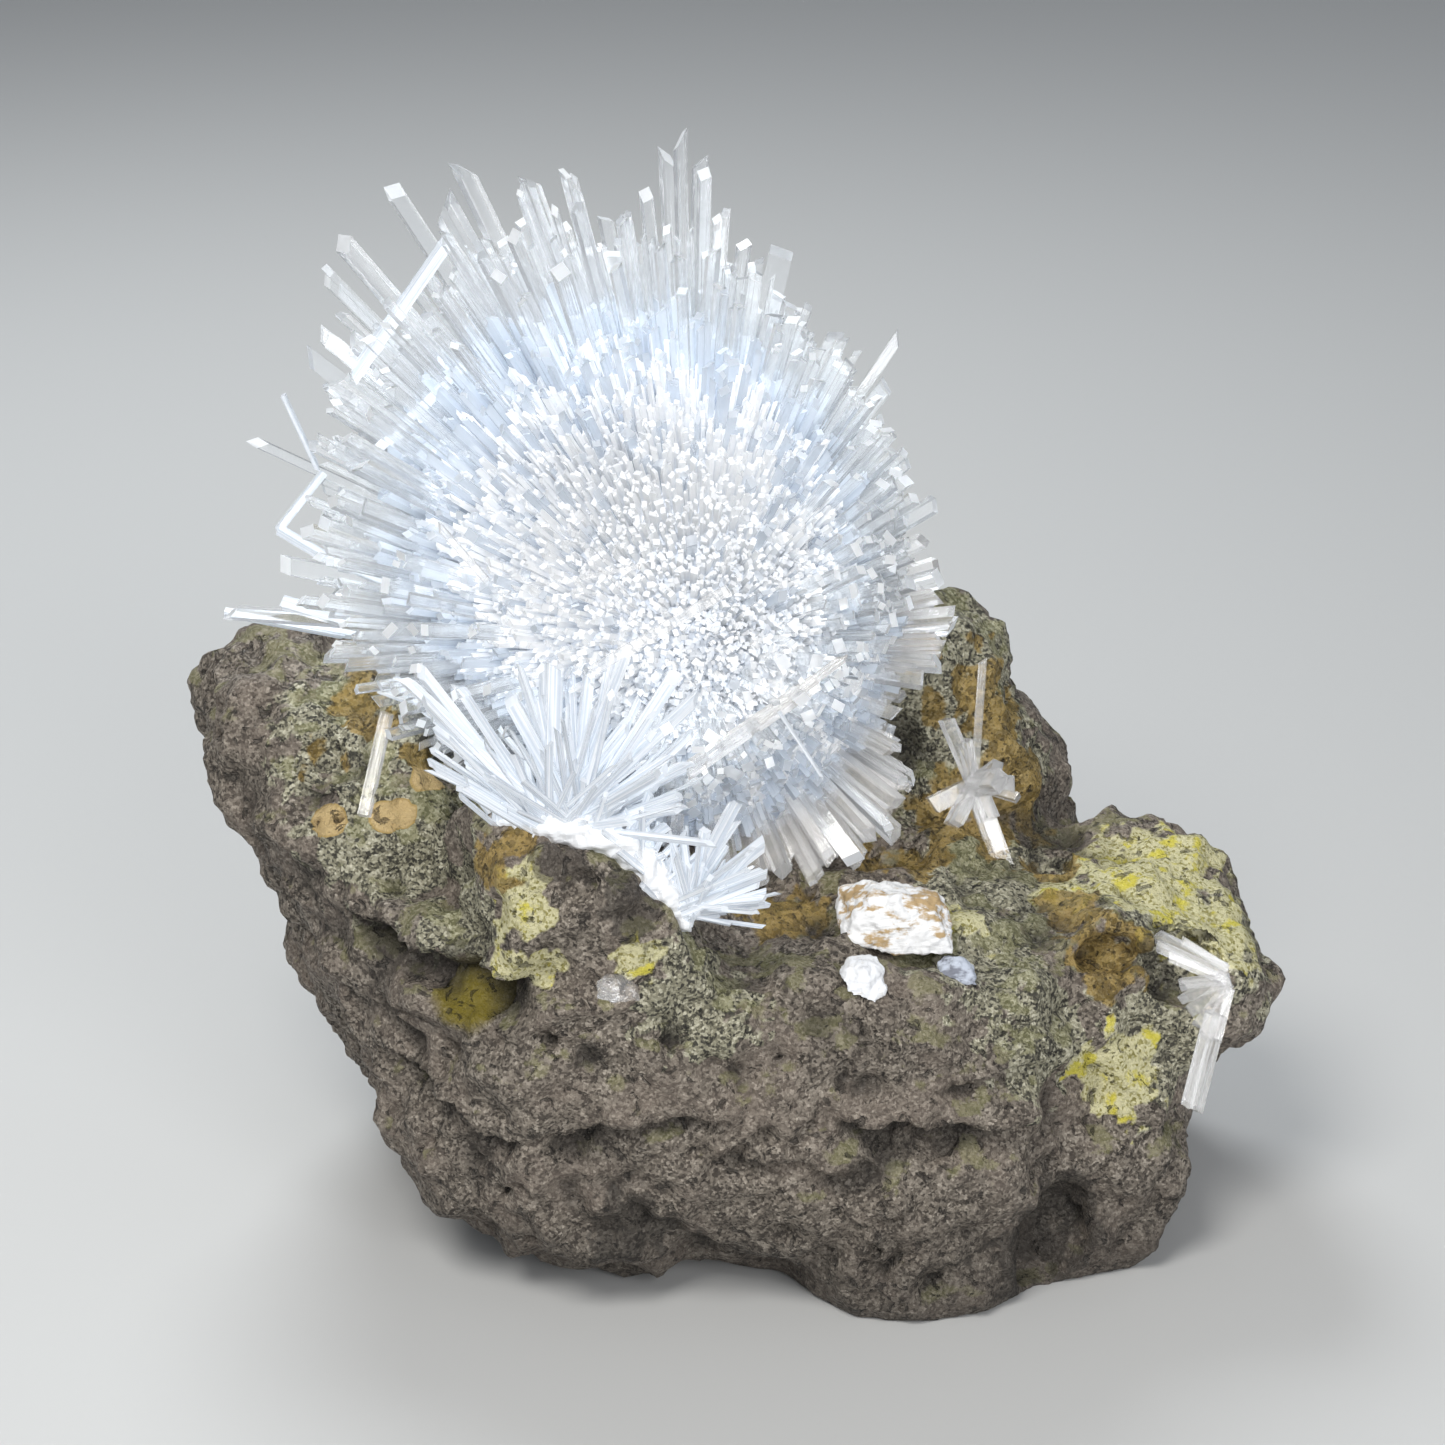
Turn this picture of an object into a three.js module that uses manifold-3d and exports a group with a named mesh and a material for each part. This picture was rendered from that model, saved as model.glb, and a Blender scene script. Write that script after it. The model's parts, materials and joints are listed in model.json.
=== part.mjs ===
// A scolecite specimen: a ball of needle crystals that grew on the wall of a broken cavity in basalt, with
// two small sprays on the cavity's front rim, two clusters and a lone needle elsewhere on the rock, and
// grains of altered white mineral on its ledge. Millimetres, +Z up, +Y away from the front.
// The origin is on the flat that the rock stands on, below the middle of the ball.

import * as THREE from "three";
import { ImprovedNoise } from "three/addons/math/ImprovedNoise.js";
import { mergeVertices } from "three/addons/utils/BufferGeometryUtils.js";
import Module from "manifold-3d";

const wasm = await Module();
wasm.setup();

// ---- Driving dimensions ----

const SEAT_GAP = 0.5; // between a crystal and the rock that it sits on
const STANCE_DEPTH = 60; // of the block that cuts the rock's foot flat
const BALL_CENTRE = [-3.2, 8, 60.4]; // the point that the ball's needles grow from
const LONG_REACH = 54; // of the needles on the ball's freest side
const SHORT_REACH = 27; // of those that the rock crowded
const CORE_SHARE = 0.55; // of the reach, to the bottom of the grooves between the ball's columns
const COLUMN_SHARE = 0.8; // of the reach, to the tips of the columns
const COLUMN_SCATTER = 0.14; // of the reach, between the shortest and the longest columns
const THIN_ROOT_SHARE = 0.5; // of the reach, to the roots of the thin needles between the columns
const THIN_TIP_SHARE = 0.86; // of the reach, to the tips of the shortest thin needles
const THIN_SCATTER = 0.12; // of the reach, between the shortest and the longest of them
const COLUMN_TAPER = 0.5; // a column's tip against its foot
const COLUMN_SWAY = 3.6; // across a column's tip, so that the columns don't stand in rows
const COLUMNS_ACROSS = 6; // on each of the six faces that are blown up to make the ball
const BALL_TURN = [0.5, 0.35, 0.3]; // of those faces, in radians, so that no seam faces the showing side
const THIN_NEEDLES = 24; // set evenly round the ball, between the columns
const THIN_WIDTH = 1.3;
const FIRST_CHANCE = 7; // seed of the small differences between crystals

// ---- Joining and cutting ----

// A closed geometry as a solid that can be joined and cut.
function solidOf(geometry) {
  const bare = new THREE.BufferGeometry();
  bare.setAttribute("position", geometry.getAttribute("position"));
  bare.setIndex(geometry.index);
  const merged = mergeVertices(bare, 1e-4);
  return new wasm.Manifold(
    new wasm.Mesh({
      numProp: 3,
      vertProperties: merged.attributes.position.array,
      triVerts: new Uint32Array(merged.index.array),
    }),
  );
}

function joined(solids) {
  return solids.reduce((all, next) => all.add(next));
}

// The largest body of a solid, without the scraps that a cut leaves behind.
function largestOf(solid) {
  const bodies = solid.decompose();
  return bodies.reduce((best, next) => (next.volume() > best.volume() ? next : best));
}

function meshOf(name, solid, look) {
  const { vertProperties, triVerts, numProp } = solid.getMesh();
  const geometry = new THREE.BufferGeometry();
  const points = new Float32Array((vertProperties.length / numProp) * 3);
  for (let i = 0; i * numProp < vertProperties.length; i += 1) {
    points.set(vertProperties.subarray(i * numProp, i * numProp + 3), i * 3);
  }
  geometry.setAttribute("position", new THREE.BufferAttribute(points, 3));
  geometry.setIndex(new THREE.BufferAttribute(triVerts, 1));
  const mesh = new THREE.Mesh(geometry, look);
  mesh.name = name;
  return mesh;
}

// ---- Basalt ----

const noise = new ImprovedNoise();
const BUMPS = [
  [17, 2.4],
  [8, 1.5],
  [4.2, 0.8],
]; // size and height of the lumps in a broken face

function roughness(point, shift = 0) {
  return BUMPS.reduce(
    (sum, [size, height]) =>
      sum + height * noise.noise(point.x / size + shift, point.y / size, point.z / size),
    0,
  );
}

// A block with blunt edges. Each face is its outward direction and a point that it passes through.
function block({ centre, faces, sharpness = 9, detail = 8, grow = 0, rough = 1 }) {
  const middle = new THREE.Vector3(...centre);
  const sides = faces.map(([direction, through]) => {
    const normal = new THREE.Vector3(...direction).normalize();
    return { normal, distance: new THREE.Vector3(...through).sub(middle).dot(normal) };
  });
  const geometry = new THREE.IcosahedronGeometry(1, detail);
  const corners = geometry.getAttribute("position");
  const way = new THREE.Vector3();
  for (let i = 0; i < corners.count; i += 1) {
    way.fromBufferAttribute(corners, i).normalize();
    const crowding = sides.reduce(
      (sum, { normal, distance }) => sum + Math.max(0, normal.dot(way) / distance) ** sharpness,
      0,
    );
    const radius = crowding ** (-1 / sharpness);
    const point = way.clone().multiplyScalar(radius).add(middle);
    point.addScaledVector(way, rough * roughness(point) + grow);
    corners.setXYZ(i, point.x, point.y, point.z);
  }
  return solidOf(geometry);
}

// A hollow or a lump with three radii, turned about the vertical.
function pebble({ centre, radii, turn = 0, detail = 1, grow = 0, rough = 0.35 }) {
  const middle = new THREE.Vector3(...centre);
  const geometry = new THREE.IcosahedronGeometry(1, detail);
  const corners = geometry.getAttribute("position");
  const point = new THREE.Vector3();
  const up = new THREE.Vector3(0, 0, 1);
  for (let i = 0; i < corners.count; i += 1) {
    point.fromBufferAttribute(corners, i).normalize();
    const outwards = point.clone().applyAxisAngle(up, turn);
    point.multiply(new THREE.Vector3(...radii)).applyAxisAngle(up, turn).add(middle);
    point.addScaledVector(outwards, rough * roughness(point, 3) + grow);
    corners.setXYZ(i, point.x, point.y, point.z);
  }
  return solidOf(geometry);
}

const DOWN = [0, 0, -1];
const BED = {
  centre: [0, 4, 20],
  detail: 5,
  faces: [
    [[0.12, -0.1, 0.99], [20, -10, 37.6]], // the ledge
    [[0.05, -1, 0.1], [0, -28, 25]],
    [[0, -0.6, -0.8], [0, -26, 8.5]],
    [[-0.8, -0.1, -0.6], [-39.5, -6, 17]],
    [[-1, -0.1, 0.15], [-48.5, -4, 28]],
    [[-0.7, -0.7, 0], [-33, -20, 28]],
    [[0.95, -0.2, 0.1], [40, -5, 25]],
    [[0.6, -0.8, 0.1], [33, -24, 20]],
    [[0.05, 1, 0], [0, 31, 20]],
    [[0.7, 0.65, 0.3], [34, 18, 30]],
    [DOWN, [0, 4, -4]],
  ],
};
const LEFT_WALL = {
  centre: [-37, 9, 42],
  detail: 4,
  faces: [
    [[0.05, -0.25, 0.96], [-45, 14, 60.5]],
    [[-1, -0.05, 0.1], [-55.3, 8, 54]],
    [[-0.82, -0.1, -0.55], [-50, 0, 41]],
    [[-0.7, -0.7, 0.05], [-48, -2, 48]],
    [[0.15, -0.9, 0.4], [-36, -11, 46]],
    [[0.9, -0.3, 0.2], [-25, 2, 48]],
    [[-0.2, 0.97, 0], [-36, 25, 40]],
    [DOWN, [-37, 9, 12]],
  ],
};
const BACK_WALL = {
  centre: [4, 22, 38],
  detail: 3,
  faces: [
    [[0.05, 0.1, 1], [19, 22, 61.8]],
    [[0.72, -0.05, 0.7], [28, 19, 59.5]],
    [[0.97, -0.1, 0.25], [33, 17, 50]],
    [[0.1, -0.97, 0.2], [26, 11, 43]],
    [[0, 0.98, 0.1], [0, 33, 40]],
    [[-1, 0, 0.1], [-34, 22, 40]],
    [DOWN, [4, 22, 8]],
  ],
};
const RIGHT_LOBE = {
  centre: [42, 8, 22],
  detail: 4,
  faces: [
    [[0.1, -0.05, 0.99], [45, 12, 36.6]],
    [[0.7, 0, 0.7], [53.5, 7, 34]],
    [[1, -0.05, 0.1], [56.8, 3, 24]],
    [[0.65, -0.15, -0.75], [51, -4, 17.5]],
    [[0.25, -0.95, 0.15], [44, -12, 24]],
    [[0.1, 1, 0.1], [40, 20, 28]],
    [[-1, 0, 0], [20, 8, 20]],
    [DOWN, [42, 8, 5]],
  ],
};
const RIGHT_FOOT = {
  centre: [36, 3, 10],
  detail: 3,
  faces: [
    [[1, -0.1, -0.25], [47.5, -10, 8]],
    [[0.3, -0.95, 0], [41, -17, 8]],
    [[0, -0.3, 0.95], [40, -8, 22]],
    [[0.2, 1, 0], [38, 27, 10]],
    [[-1, 0, 0], [14, 0, 10]],
    [DOWN, [36, 3, -4]],
  ],
};
const FRONT_FOOT = {
  centre: [20, -8, 11],
  detail: 3,
  faces: [
    [[0, -1, 0.05], [20, -26.5, 8]],
    [[0.85, -0.5, 0], [31, -20, 8]],
    [[-0.85, -0.5, 0], [9, -20, 8]],
    [[0, -0.4, 0.92], [20, -23, 21]],
    [[0, 1, 0], [20, 8, 10]],
    [DOWN, [20, -8, -4]],
  ],
};
const FRONT_RIM = {
  centre: [-14, -14, 36],
  detail: 3,
  faces: [
    [[0.05, -0.2, 0.98], [-16, -22, 52]],
    [[0.82, -0.1, 0.57], [-5.6, -24.5, 47.6]],
    [[-0.05, -0.97, -0.2], [-14, -27.3, 47]],
    [[-0.85, -0.4, 0.1], [-25, -20, 42]],
    [[0.8, -0.3, 0.2], [2, -24, 38]],
    [[0, 1, 0], [-14, 3, 38]],
    [DOWN, [-14, -14, 16]],
  ],
};

// Everything that is missing from the blocks: the cavity, its side pockets and the gas holes.
const HOLLOWS = [
  { centre: [-8, -5, 64], radii: [26, 15, 28], detail: 3 }, // the main cavity
  { centre: [4, -14, 46], radii: [9, 10, 10], detail: 2 }, // its arm below the low spray
  { centre: [-15.5, -27, 48.8], radii: [3.6, 3, 2.8] }, // below the front rim
  { centre: [-8.5, -28, 45.8], radii: [5, 2.6, 2.4] },
  { centre: [-40.5, -5, 53.4], radii: [2.8, 3, 2.3] }, // in the left wall
  { centre: [-26, -24.8, 36.6], radii: [4.2, 3.6, 3.1] }, // under the front's overhang
  { centre: [-32, -20, 37.2], radii: [5, 2.6, 1.8], turn: -0.4 },
  { centre: [18.5, 3.5, 39.6], radii: [4.4, 4, 3] }, // at the foot of the back wall
  { centre: [34.3, 6, 37.3], radii: [2.2, 2.6, 2.2] },
  { centre: [39.4, -9.4, 33.6], radii: [4, 3.4, 3] }, // in the right lobe
  { centre: [46.8, -8.2, 31.2], radii: [4.6, 4.4, 3.8] },
  { centre: [20.9, -26.6, 20.4], radii: [3, 2.4, 2.2] },
  { centre: [-9, -28, 9.5], radii: [7.5, 3.2, 2.6] }, // under the front's foot
  { centre: [34, -21, 6], radii: [5, 6, 6.5] }, // between the two feet
  { centre: [12, 33, 34], radii: [6, 3, 4.5] }, // in the back
  { centre: [-20, 32, 22], radii: [4, 3, 3.4] },
];

function basalt(clearance = 0) {
  const masses = [BED, LEFT_WALL, BACK_WALL, RIGHT_LOBE, RIGHT_FOOT, FRONT_FOOT, FRONT_RIM];
  const blocks = masses.map((shape) => block({ ...shape, grow: clearance }));
  const hollows = HOLLOWS.map((shape) => pebble({ ...shape, grow: -clearance }));
  const ground = new THREE.BoxGeometry(200, 200, STANCE_DEPTH);
  ground.translate(0, 0, -STANCE_DEPTH / 2 - clearance);
  return largestOf(joined(blocks).subtract(joined(hollows)).subtract(solidOf(ground)));
}

// ---- Crystals ----

const chance = THREE.MathUtils.seededRandom;
const degrees = THREE.MathUtils.degToRad;

// The specimen's showing side is seen from a little above the front. A needle's way is its angle up from +X
// on that side, and its lean out of it.
const SHOW_TILT = degrees(22);
const ACROSS = new THREE.Vector3(1, 0, 0);
const RISE = new THREE.Vector3(0, Math.sin(SHOW_TILT), Math.cos(SHOW_TILT));
const OUT = new THREE.Vector3(0, -Math.cos(SHOW_TILT), Math.sin(SHOW_TILT));

function way(angle, lean = 0) {
  const flat = Math.cos(degrees(lean));
  return new THREE.Vector3()
    .addScaledVector(ACROSS, Math.cos(degrees(angle)) * flat)
    .addScaledVector(RISE, Math.sin(degrees(angle)) * flat)
    .addScaledVector(OUT, Math.sin(degrees(lean)));
}

// A square prism between two points.
function needle(root, tip, width) {
  const start = new THREE.Vector3(...root);
  const along = new THREE.Vector3(...tip).sub(start);
  const prism = new THREE.BoxGeometry(width, width, along.length());
  prism.translate(0, 0, along.length() / 2);
  const upright = new THREE.Vector3(0, 0, 1);
  prism.applyQuaternion(new THREE.Quaternion().setFromUnitVectors(upright, along.clone().normalize()));
  prism.translate(...start);
  return solidOf(prism);
}

function needleAlong(root, direction, from, to, width) {
  const start = new THREE.Vector3(...root);
  const first = start.clone().addScaledVector(direction, from);
  const last = start.clone().addScaledVector(direction, to);
  return needle(first, last, width);
}

// How far the ball's longest needles reach: most where the open cavity left them room, and least once a
// direction turns away from the free side by more than the cosine that CROWDED gives.
const FREE_SIDE = way(125, 25);
const CROWDED = -0.35;

function reachAlong(direction) {
  const freedom = THREE.MathUtils.clamp((direction.dot(FREE_SIDE) - CROWDED) / (1 - CROWDED), 0, 1);
  return SHORT_REACH + (LONG_REACH - SHORT_REACH) * freedom ** 2;
}

// No needle grows at the wall that carries the ball, within the cone whose cosine is WALL_CONE.
const WALL_SIDE = new THREE.Vector3(0, 0.75, -0.66);
const WALL_CONE = 0.35;

function isFree(direction) {
  return direction.dot(WALL_SIDE) < WALL_CONE;
}

// A ball of packed square columns: a cube's faces are split in squares and blown up to a sphere, and each
// square stands out as a column that narrows to a flat tip.
function burr() {
  const turn = new THREE.Euler(...BALL_TURN);
  const places = [];
  const corners = [];
  const gridLine = (i) => Math.round(Math.tan((i / COLUMNS_ACROSS - 0.5) * (Math.PI / 2)) * 1e6) / 1e6;
  for (let k = 0; k < 6 * COLUMNS_ACROSS ** 2; k += 1) {
    const axis = k % 3;
    const side = k % 6 < 3 ? 1 : -1;
    const cell = Math.floor(k / 6);
    const i = cell % COLUMNS_ACROSS;
    const j = Math.floor(cell / COLUMNS_ACROSS);
    const square = [[i, j], [i + 1, j], [i + 1, j + 1], [i, j + 1]].map(([a, b]) => {
      const corner = new THREE.Vector3().setComponent(axis, side);
      corner.setComponent((axis + 1) % 3, gridLine(a)).setComponent((axis + 2) % 3, gridLine(b));
      return corner.normalize().applyEuler(turn);
    });
    if (side < 0) square.reverse();
    places.push(square);
  }
  for (const square of places) {
    const axis = square.reduce((sum, corner) => sum.add(corner), new THREE.Vector3()).normalize();
    const base = square.map((corner) => corner.clone().multiplyScalar(CORE_SHARE * reachAlong(corner)));
    if (!isFree(axis)) {
      corners.push(base[0], base[1], base[2], base[0], base[2], base[3]);
      continue;
    }
    const length = reachAlong(axis) * (COLUMN_SHARE + COLUMN_SCATTER * (chance() - 0.5));
    const sway = new THREE.Vector3(chance(), chance(), chance()).subScalar(0.5).multiplyScalar(COLUMN_SWAY);
    const tip = square.map((corner) =>
      corner.clone().addScaledVector(axis, -corner.dot(axis)).multiplyScalar(COLUMN_TAPER * length)
        .addScaledVector(axis, length).add(sway),
    );
    for (let side = 0; side < 4; side += 1) {
      const next = (side + 1) % 4;
      corners.push(base[side], base[next], tip[next], base[side], tip[next], tip[side]);
    }
    corners.push(tip[0], tip[1], tip[2], tip[0], tip[2], tip[3]);
  }
  const geometry = new THREE.BufferGeometry().setFromPoints(corners);
  geometry.translate(...BALL_CENTRE);
  return solidOf(geometry);
}

// The needles that stand out of the ball's outline: angle, lean, reach and width.
const LONG_NEEDLES = [
  [176, 2, 47.5, 1.5],
  [169, 8, 42.5, 1.8],
  [155, 0, 49.5, 1.3],
  [143, 3, 49, 1.9],
  [140, 12, 49.5, 1.7],
  [134.7, 4, 53.5, 1.6],
  [131, 14, 54.5, 1.9],
  [123.3, 5, 55.5, 1.7],
  [119.5, 16, 52, 2.6],
  [115.7, 6, 54, 1.8],
  [109.7, 12, 50.5, 2.1],
  [104.6, 10, 50, 1.5],
  [99, 6, 44, 1.6],
  [95.7, 12, 46.5, 1.3],
  [92.8, 5, 50, 1.9],
  [91.2, 14, 52, 1.2],
  [88.7, 6, 49.5, 1.8],
  [86, 10, 44.5, 1.6],
  [82.5, 4, 41.5, 1.5],
  [77, 12, 41.5, 2.4],
  [65, 8, 35, 2.2],
  [56, 5, 38, 1.2],
  [53, 10, 33.5, 2],
  [41, 4, 29.5, 2],
  [30, 8, 29, 1.9],
  [15, 10, 26.5, 1.9],
  [4, 5, 27, 1.9],
  [-4, 8, 25.5, 2],
  [-32, 12, 27, 1.6],
  [-43, 16, 29, 1.5],
  [-53, 20, 29, 1.9],
];

// Needles that grew across the others, between the points named.
const CROSSING_NEEDLES = [
  [[-27.2, 10, 103.1], [-37, 7, 89.7], 1.8],
  [[-25, 4.5, 92.3], [-36.7, 4, 80.9], 1.2],
  [[-41.1, 13.6, 77.3], [-45.7, 11, 72], 1.3],
  [[9.2, -13, 64.5], [-3.4, -18.5, 57.4], 1.8],
];

// The two sprays on the front rim: the tips of their needles.
const RIM_SPRAY = [-16, -20.5, 52.4];
const RIM_TIPS = [
  [-28.8, -18, 67.2],
  [-26.5, -21, 63],
  [-20, -16, 66],
  [-23, -20, 67],
  [-16.5, -19, 68],
  [-13.8, -19, 66.5],
  [-11, -22, 66],
  [-3.6, -22, 68.6],
  [-7, -26, 66],
  [-1.2, -24, 66],
  [-4.3, -27, 57.9],
  [-2.5, -27.5, 55],
  [-10, -30, 62],
  [-18, -29, 63],
  [-25, -25, 58],
  [-26, -21, 55.5],
];
const RIM_CRUST = [
  [[-20.5, -21, 51.8], [3.4, 2.6, 2]],
  [[-15.5, -21.5, 52.2], [5, 3, 2.6]],
  [[-10, -22.5, 51.2], [4, 2.6, 2.4]],
  [[-6.6, -23.4, 48.8], [3, 2.4, 2.8]],
  [[-3.6, -24.3, 45.6], [2.8, 2.6, 3.2]],
]; // middles and sizes of the lumps that join the two sprays along the rim
const LOW_SPRAY = [-2.6, -24.3, 44.9];
const LOW_TIPS = [
  [5.3, -21, 51.4],
  [2.7, -24, 51.1],
  [4, -23, 47.1],
  [3.8, -25, 45.5],
  [0, -23, 53.2],
  [7.6, -18, 48.4],
  [1.3, -28, 45.6],
];

function fan(root, tips, width) {
  return tips.map((tip) => needle(root, tip, width * (0.8 + 0.5 * chance())));
}

// The thin needles' directions follow a spiral from the ball's top to its bottom.
function thinNeedles() {
  const turn = Math.PI * (3 - Math.sqrt(5));
  const directions = Array.from({ length: THIN_NEEDLES }, (_, k) => {
    const height = 1 - (2 * k + 1) / THIN_NEEDLES;
    const ring = Math.sqrt(1 - height ** 2);
    return new THREE.Vector3(Math.cos(k * turn) * ring, Math.sin(k * turn) * ring, height);
  });
  return directions.filter(isFree).map((direction) => {
    const reach = reachAlong(direction);
    const tip = reach * (THIN_TIP_SHARE + THIN_SCATTER * chance());
    return needleAlong(BALL_CENTRE, direction, THIN_ROOT_SHARE * reach, tip, THIN_WIDTH);
  });
}

// Crystals in front of the seat, the rock grown by the seat gap, and without what would reach into it.
function seated(crystals, seat) {
  return largestOf(joined(crystals).subtract(seat));
}

function sprays() {
  const long = LONG_NEEDLES.map(([angle, lean, reach, width]) =>
    needleAlong(BALL_CENTRE, way(angle, lean), CORE_SHARE * reach, reach, width),
  );
  const crossing = CROSSING_NEEDLES.map(([root, tip, width]) => needle(root, tip, width));
  const crusts = RIM_CRUST.map(([centre, radii]) => pebble({ centre, radii }));
  const rim = fan(RIM_SPRAY, RIM_TIPS, 1.3);
  const low = fan(LOW_SPRAY, LOW_TIPS, 1.4);
  return [burr(), ...thinNeedles(), ...long, ...crossing, ...crusts, ...rim, ...low];
}

// The cross of stout needles on the back wall, with a long one that stands up along the wall.
const WALL_CLUSTER = [26.5, 9.6, 44.1];
const WALL_TIPS = [
  [23.5, 11.3, 50.8],
  [27.3, 13, 56.8],
  [25.6, 11, 48.5],
  [22, 8, 42.4],
  [24.2, 6.6, 40.6],
  [29.6, 6.5, 36.2],
  [28.8, 4.6, 46.6],
  [31, 8, 43.2],
];

// The sheaf that leans out of the right lobe's pocket.
const POCKET_CLUSTER = [51.3, -8.6, 29.6];
const POCKET_TIPS = [
  [44.4, -7.4, 34.2],
  [46.4, -11, 30.2],
  [49.4, -12.4, 26.2],
  [47.9, -14, 18],
  [46, -9, 33],
  [51.5, -12, 24.5],
];

function cluster(root, tips, width) {
  const knot = pebble({ centre: root, radii: [1.6, 1.5, 1.5], detail: 0 });
  return [knot, ...fan(root, tips, width)];
}

// A grain with broken faces: a box with its upper corners knocked off, whose size is from its middle out.
const KNOCKED_OFF = 0.9; // of the way to the corner, to where it is knocked off

function grain(centre, size, detail) {
  const ways = [[1, 0.1, 0.1], [-1, -0.1, 0], [0.1, 1, 0], [0, -1, 0.2], [0.1, 0.1, 1], DOWN];
  const corners = [[0.8, -0.5, 0.7], [-0.7, -0.3, 0.8]];
  const middle = new THREE.Vector3(...centre);
  const faces = ways.map((direction, k) => {
    const through = new THREE.Vector3(...direction).multiplyScalar(size[k >> 1]).add(middle);
    return [direction, through.toArray()];
  });
  for (const corner of corners) {
    const through = new THREE.Vector3(...corner).multiply(new THREE.Vector3(...size));
    faces.push([corner, through.multiplyScalar(KNOCKED_OFF).add(middle).toArray()]);
  }
  return [block({ centre, faces, detail, rough: 0.2, sharpness: 14 })];
}

// ---- The specimen ----

const BASALT = { color: 0x76695c, roughness: 0.95 };
const SCOLECITE = { color: 0xe4ebf2, roughness: 0.2 };
const CLEAR_SCOLECITE = { color: 0xdfe3e6, roughness: 0.1 };
const ALTERED_GRAIN = { color: 0xe6e4df, roughness: 0.85 };

chance(FIRST_CHANCE);
const rock = basalt();
const seat = basalt(SEAT_GAP);
const pieces = [
  ["scolecite_spray", sprays(), SCOLECITE],
  ["wall_crystal_cluster", cluster(WALL_CLUSTER, WALL_TIPS, 1.4), CLEAR_SCOLECITE],
  ["pocket_crystal_cluster", cluster(POCKET_CLUSTER, POCKET_TIPS, 1.5), CLEAR_SCOLECITE],
  ["leaning_needle", [needle([-36, -9.2, 48.6], [-34, -2.2, 56.9], 1.1)], CLEAR_SCOLECITE],
  ["large_white_grain", grain([17.2, -13.3, 39.2], [5.8, 3.3, 3.3], 1), ALTERED_GRAIN],
  ["small_white_grain", grain([13.8, -22, 36.2], [2.2, 2, 2.6], 1), ALTERED_GRAIN],
  ["grey_grain", grain([23.2, -19.2, 36], [1.8, 1.4, 1.6], 1), ALTERED_GRAIN],
  ["face_crystal", grain([-10.2, -27.4, 38.4], [1.9, 1.2, 1.1], 1), CLEAR_SCOLECITE],
];

const specimen = new THREE.Group();
specimen.add(meshOf("basalt_matrix", rock, new THREE.MeshStandardMaterial(BASALT)));
for (const [name, crystals, look] of pieces) {
  specimen.add(meshOf(name, seated(crystals, seat), new THREE.MeshStandardMaterial(look)));
}

export default specimen;
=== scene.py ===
import json
import math
import random

import bmesh
import bpy
from mathutils import Matrix, Vector, noise

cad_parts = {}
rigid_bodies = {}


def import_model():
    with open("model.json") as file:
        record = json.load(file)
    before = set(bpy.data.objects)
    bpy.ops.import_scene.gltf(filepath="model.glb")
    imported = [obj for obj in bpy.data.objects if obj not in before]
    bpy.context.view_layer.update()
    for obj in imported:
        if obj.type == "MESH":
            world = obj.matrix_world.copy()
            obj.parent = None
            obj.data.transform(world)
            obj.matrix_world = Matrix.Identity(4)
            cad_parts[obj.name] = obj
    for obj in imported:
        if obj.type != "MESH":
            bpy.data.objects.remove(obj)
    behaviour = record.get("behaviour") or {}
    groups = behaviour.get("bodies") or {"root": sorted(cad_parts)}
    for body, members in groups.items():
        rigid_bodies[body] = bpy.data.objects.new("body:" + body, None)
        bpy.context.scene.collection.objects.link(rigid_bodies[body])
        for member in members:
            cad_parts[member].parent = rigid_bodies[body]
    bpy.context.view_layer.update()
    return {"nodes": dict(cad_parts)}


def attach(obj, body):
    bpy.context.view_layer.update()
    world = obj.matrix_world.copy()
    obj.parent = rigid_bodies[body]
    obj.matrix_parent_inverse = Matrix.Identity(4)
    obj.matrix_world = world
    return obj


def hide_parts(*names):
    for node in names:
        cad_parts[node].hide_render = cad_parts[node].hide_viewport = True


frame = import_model()

# ---- Table, lamps and camera ----
# The specimen stands on a plain pale table under three soft studio lamps. The camera looks a little down
# on its showing side, where the cavity opens.

MM = 0.001
SHOW_TILT = math.radians(22)
AIM = Vector((0, 0, 55 * MM))
CAMERA_DISTANCE = 409.4 * MM
scene = bpy.context.scene
camera_data = bpy.data.cameras.new("camera")
camera_data.lens = 100
camera_data.sensor_width = 36
camera = bpy.data.objects.new("camera", camera_data)
camera.location = AIM + CAMERA_DISTANCE * Vector((0, -math.cos(SHOW_TILT), math.sin(SHOW_TILT)))
camera.rotation_euler = (math.radians(90) - SHOW_TILT, 0, 0)
scene.collection.objects.link(camera)
scene.camera = camera

LAMPS = {
    "key_lamp": {"place": (-0.17, -0.33, 0.50), "size": 0.26, "watts": 2.3, "colour": (1.0, 0.985, 0.955)},
    "front_lamp": {"place": (0.20, -0.50, 0.26), "size": 0.34, "watts": 1.75, "colour": (0.98, 0.985, 1.0)},
    "back_lamp": {"place": (-0.12, 0.34, 0.42), "size": 0.22, "watts": 1.4, "colour": (0.93, 0.97, 1.0)},
}
for name, lamp in LAMPS.items():
    light = bpy.data.lights.new(name, "AREA")
    light.shape = "DISK"
    light.size = lamp["size"]
    light.energy = lamp["watts"]
    light.color = lamp["colour"]
    lamp_object = bpy.data.objects.new(name, light)
    lamp_object.location = lamp["place"]
    lamp_object.rotation_euler = (AIM - lamp_object.location).to_track_quat("-Z", "Y").to_euler()
    scene.collection.objects.link(lamp_object)

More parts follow.
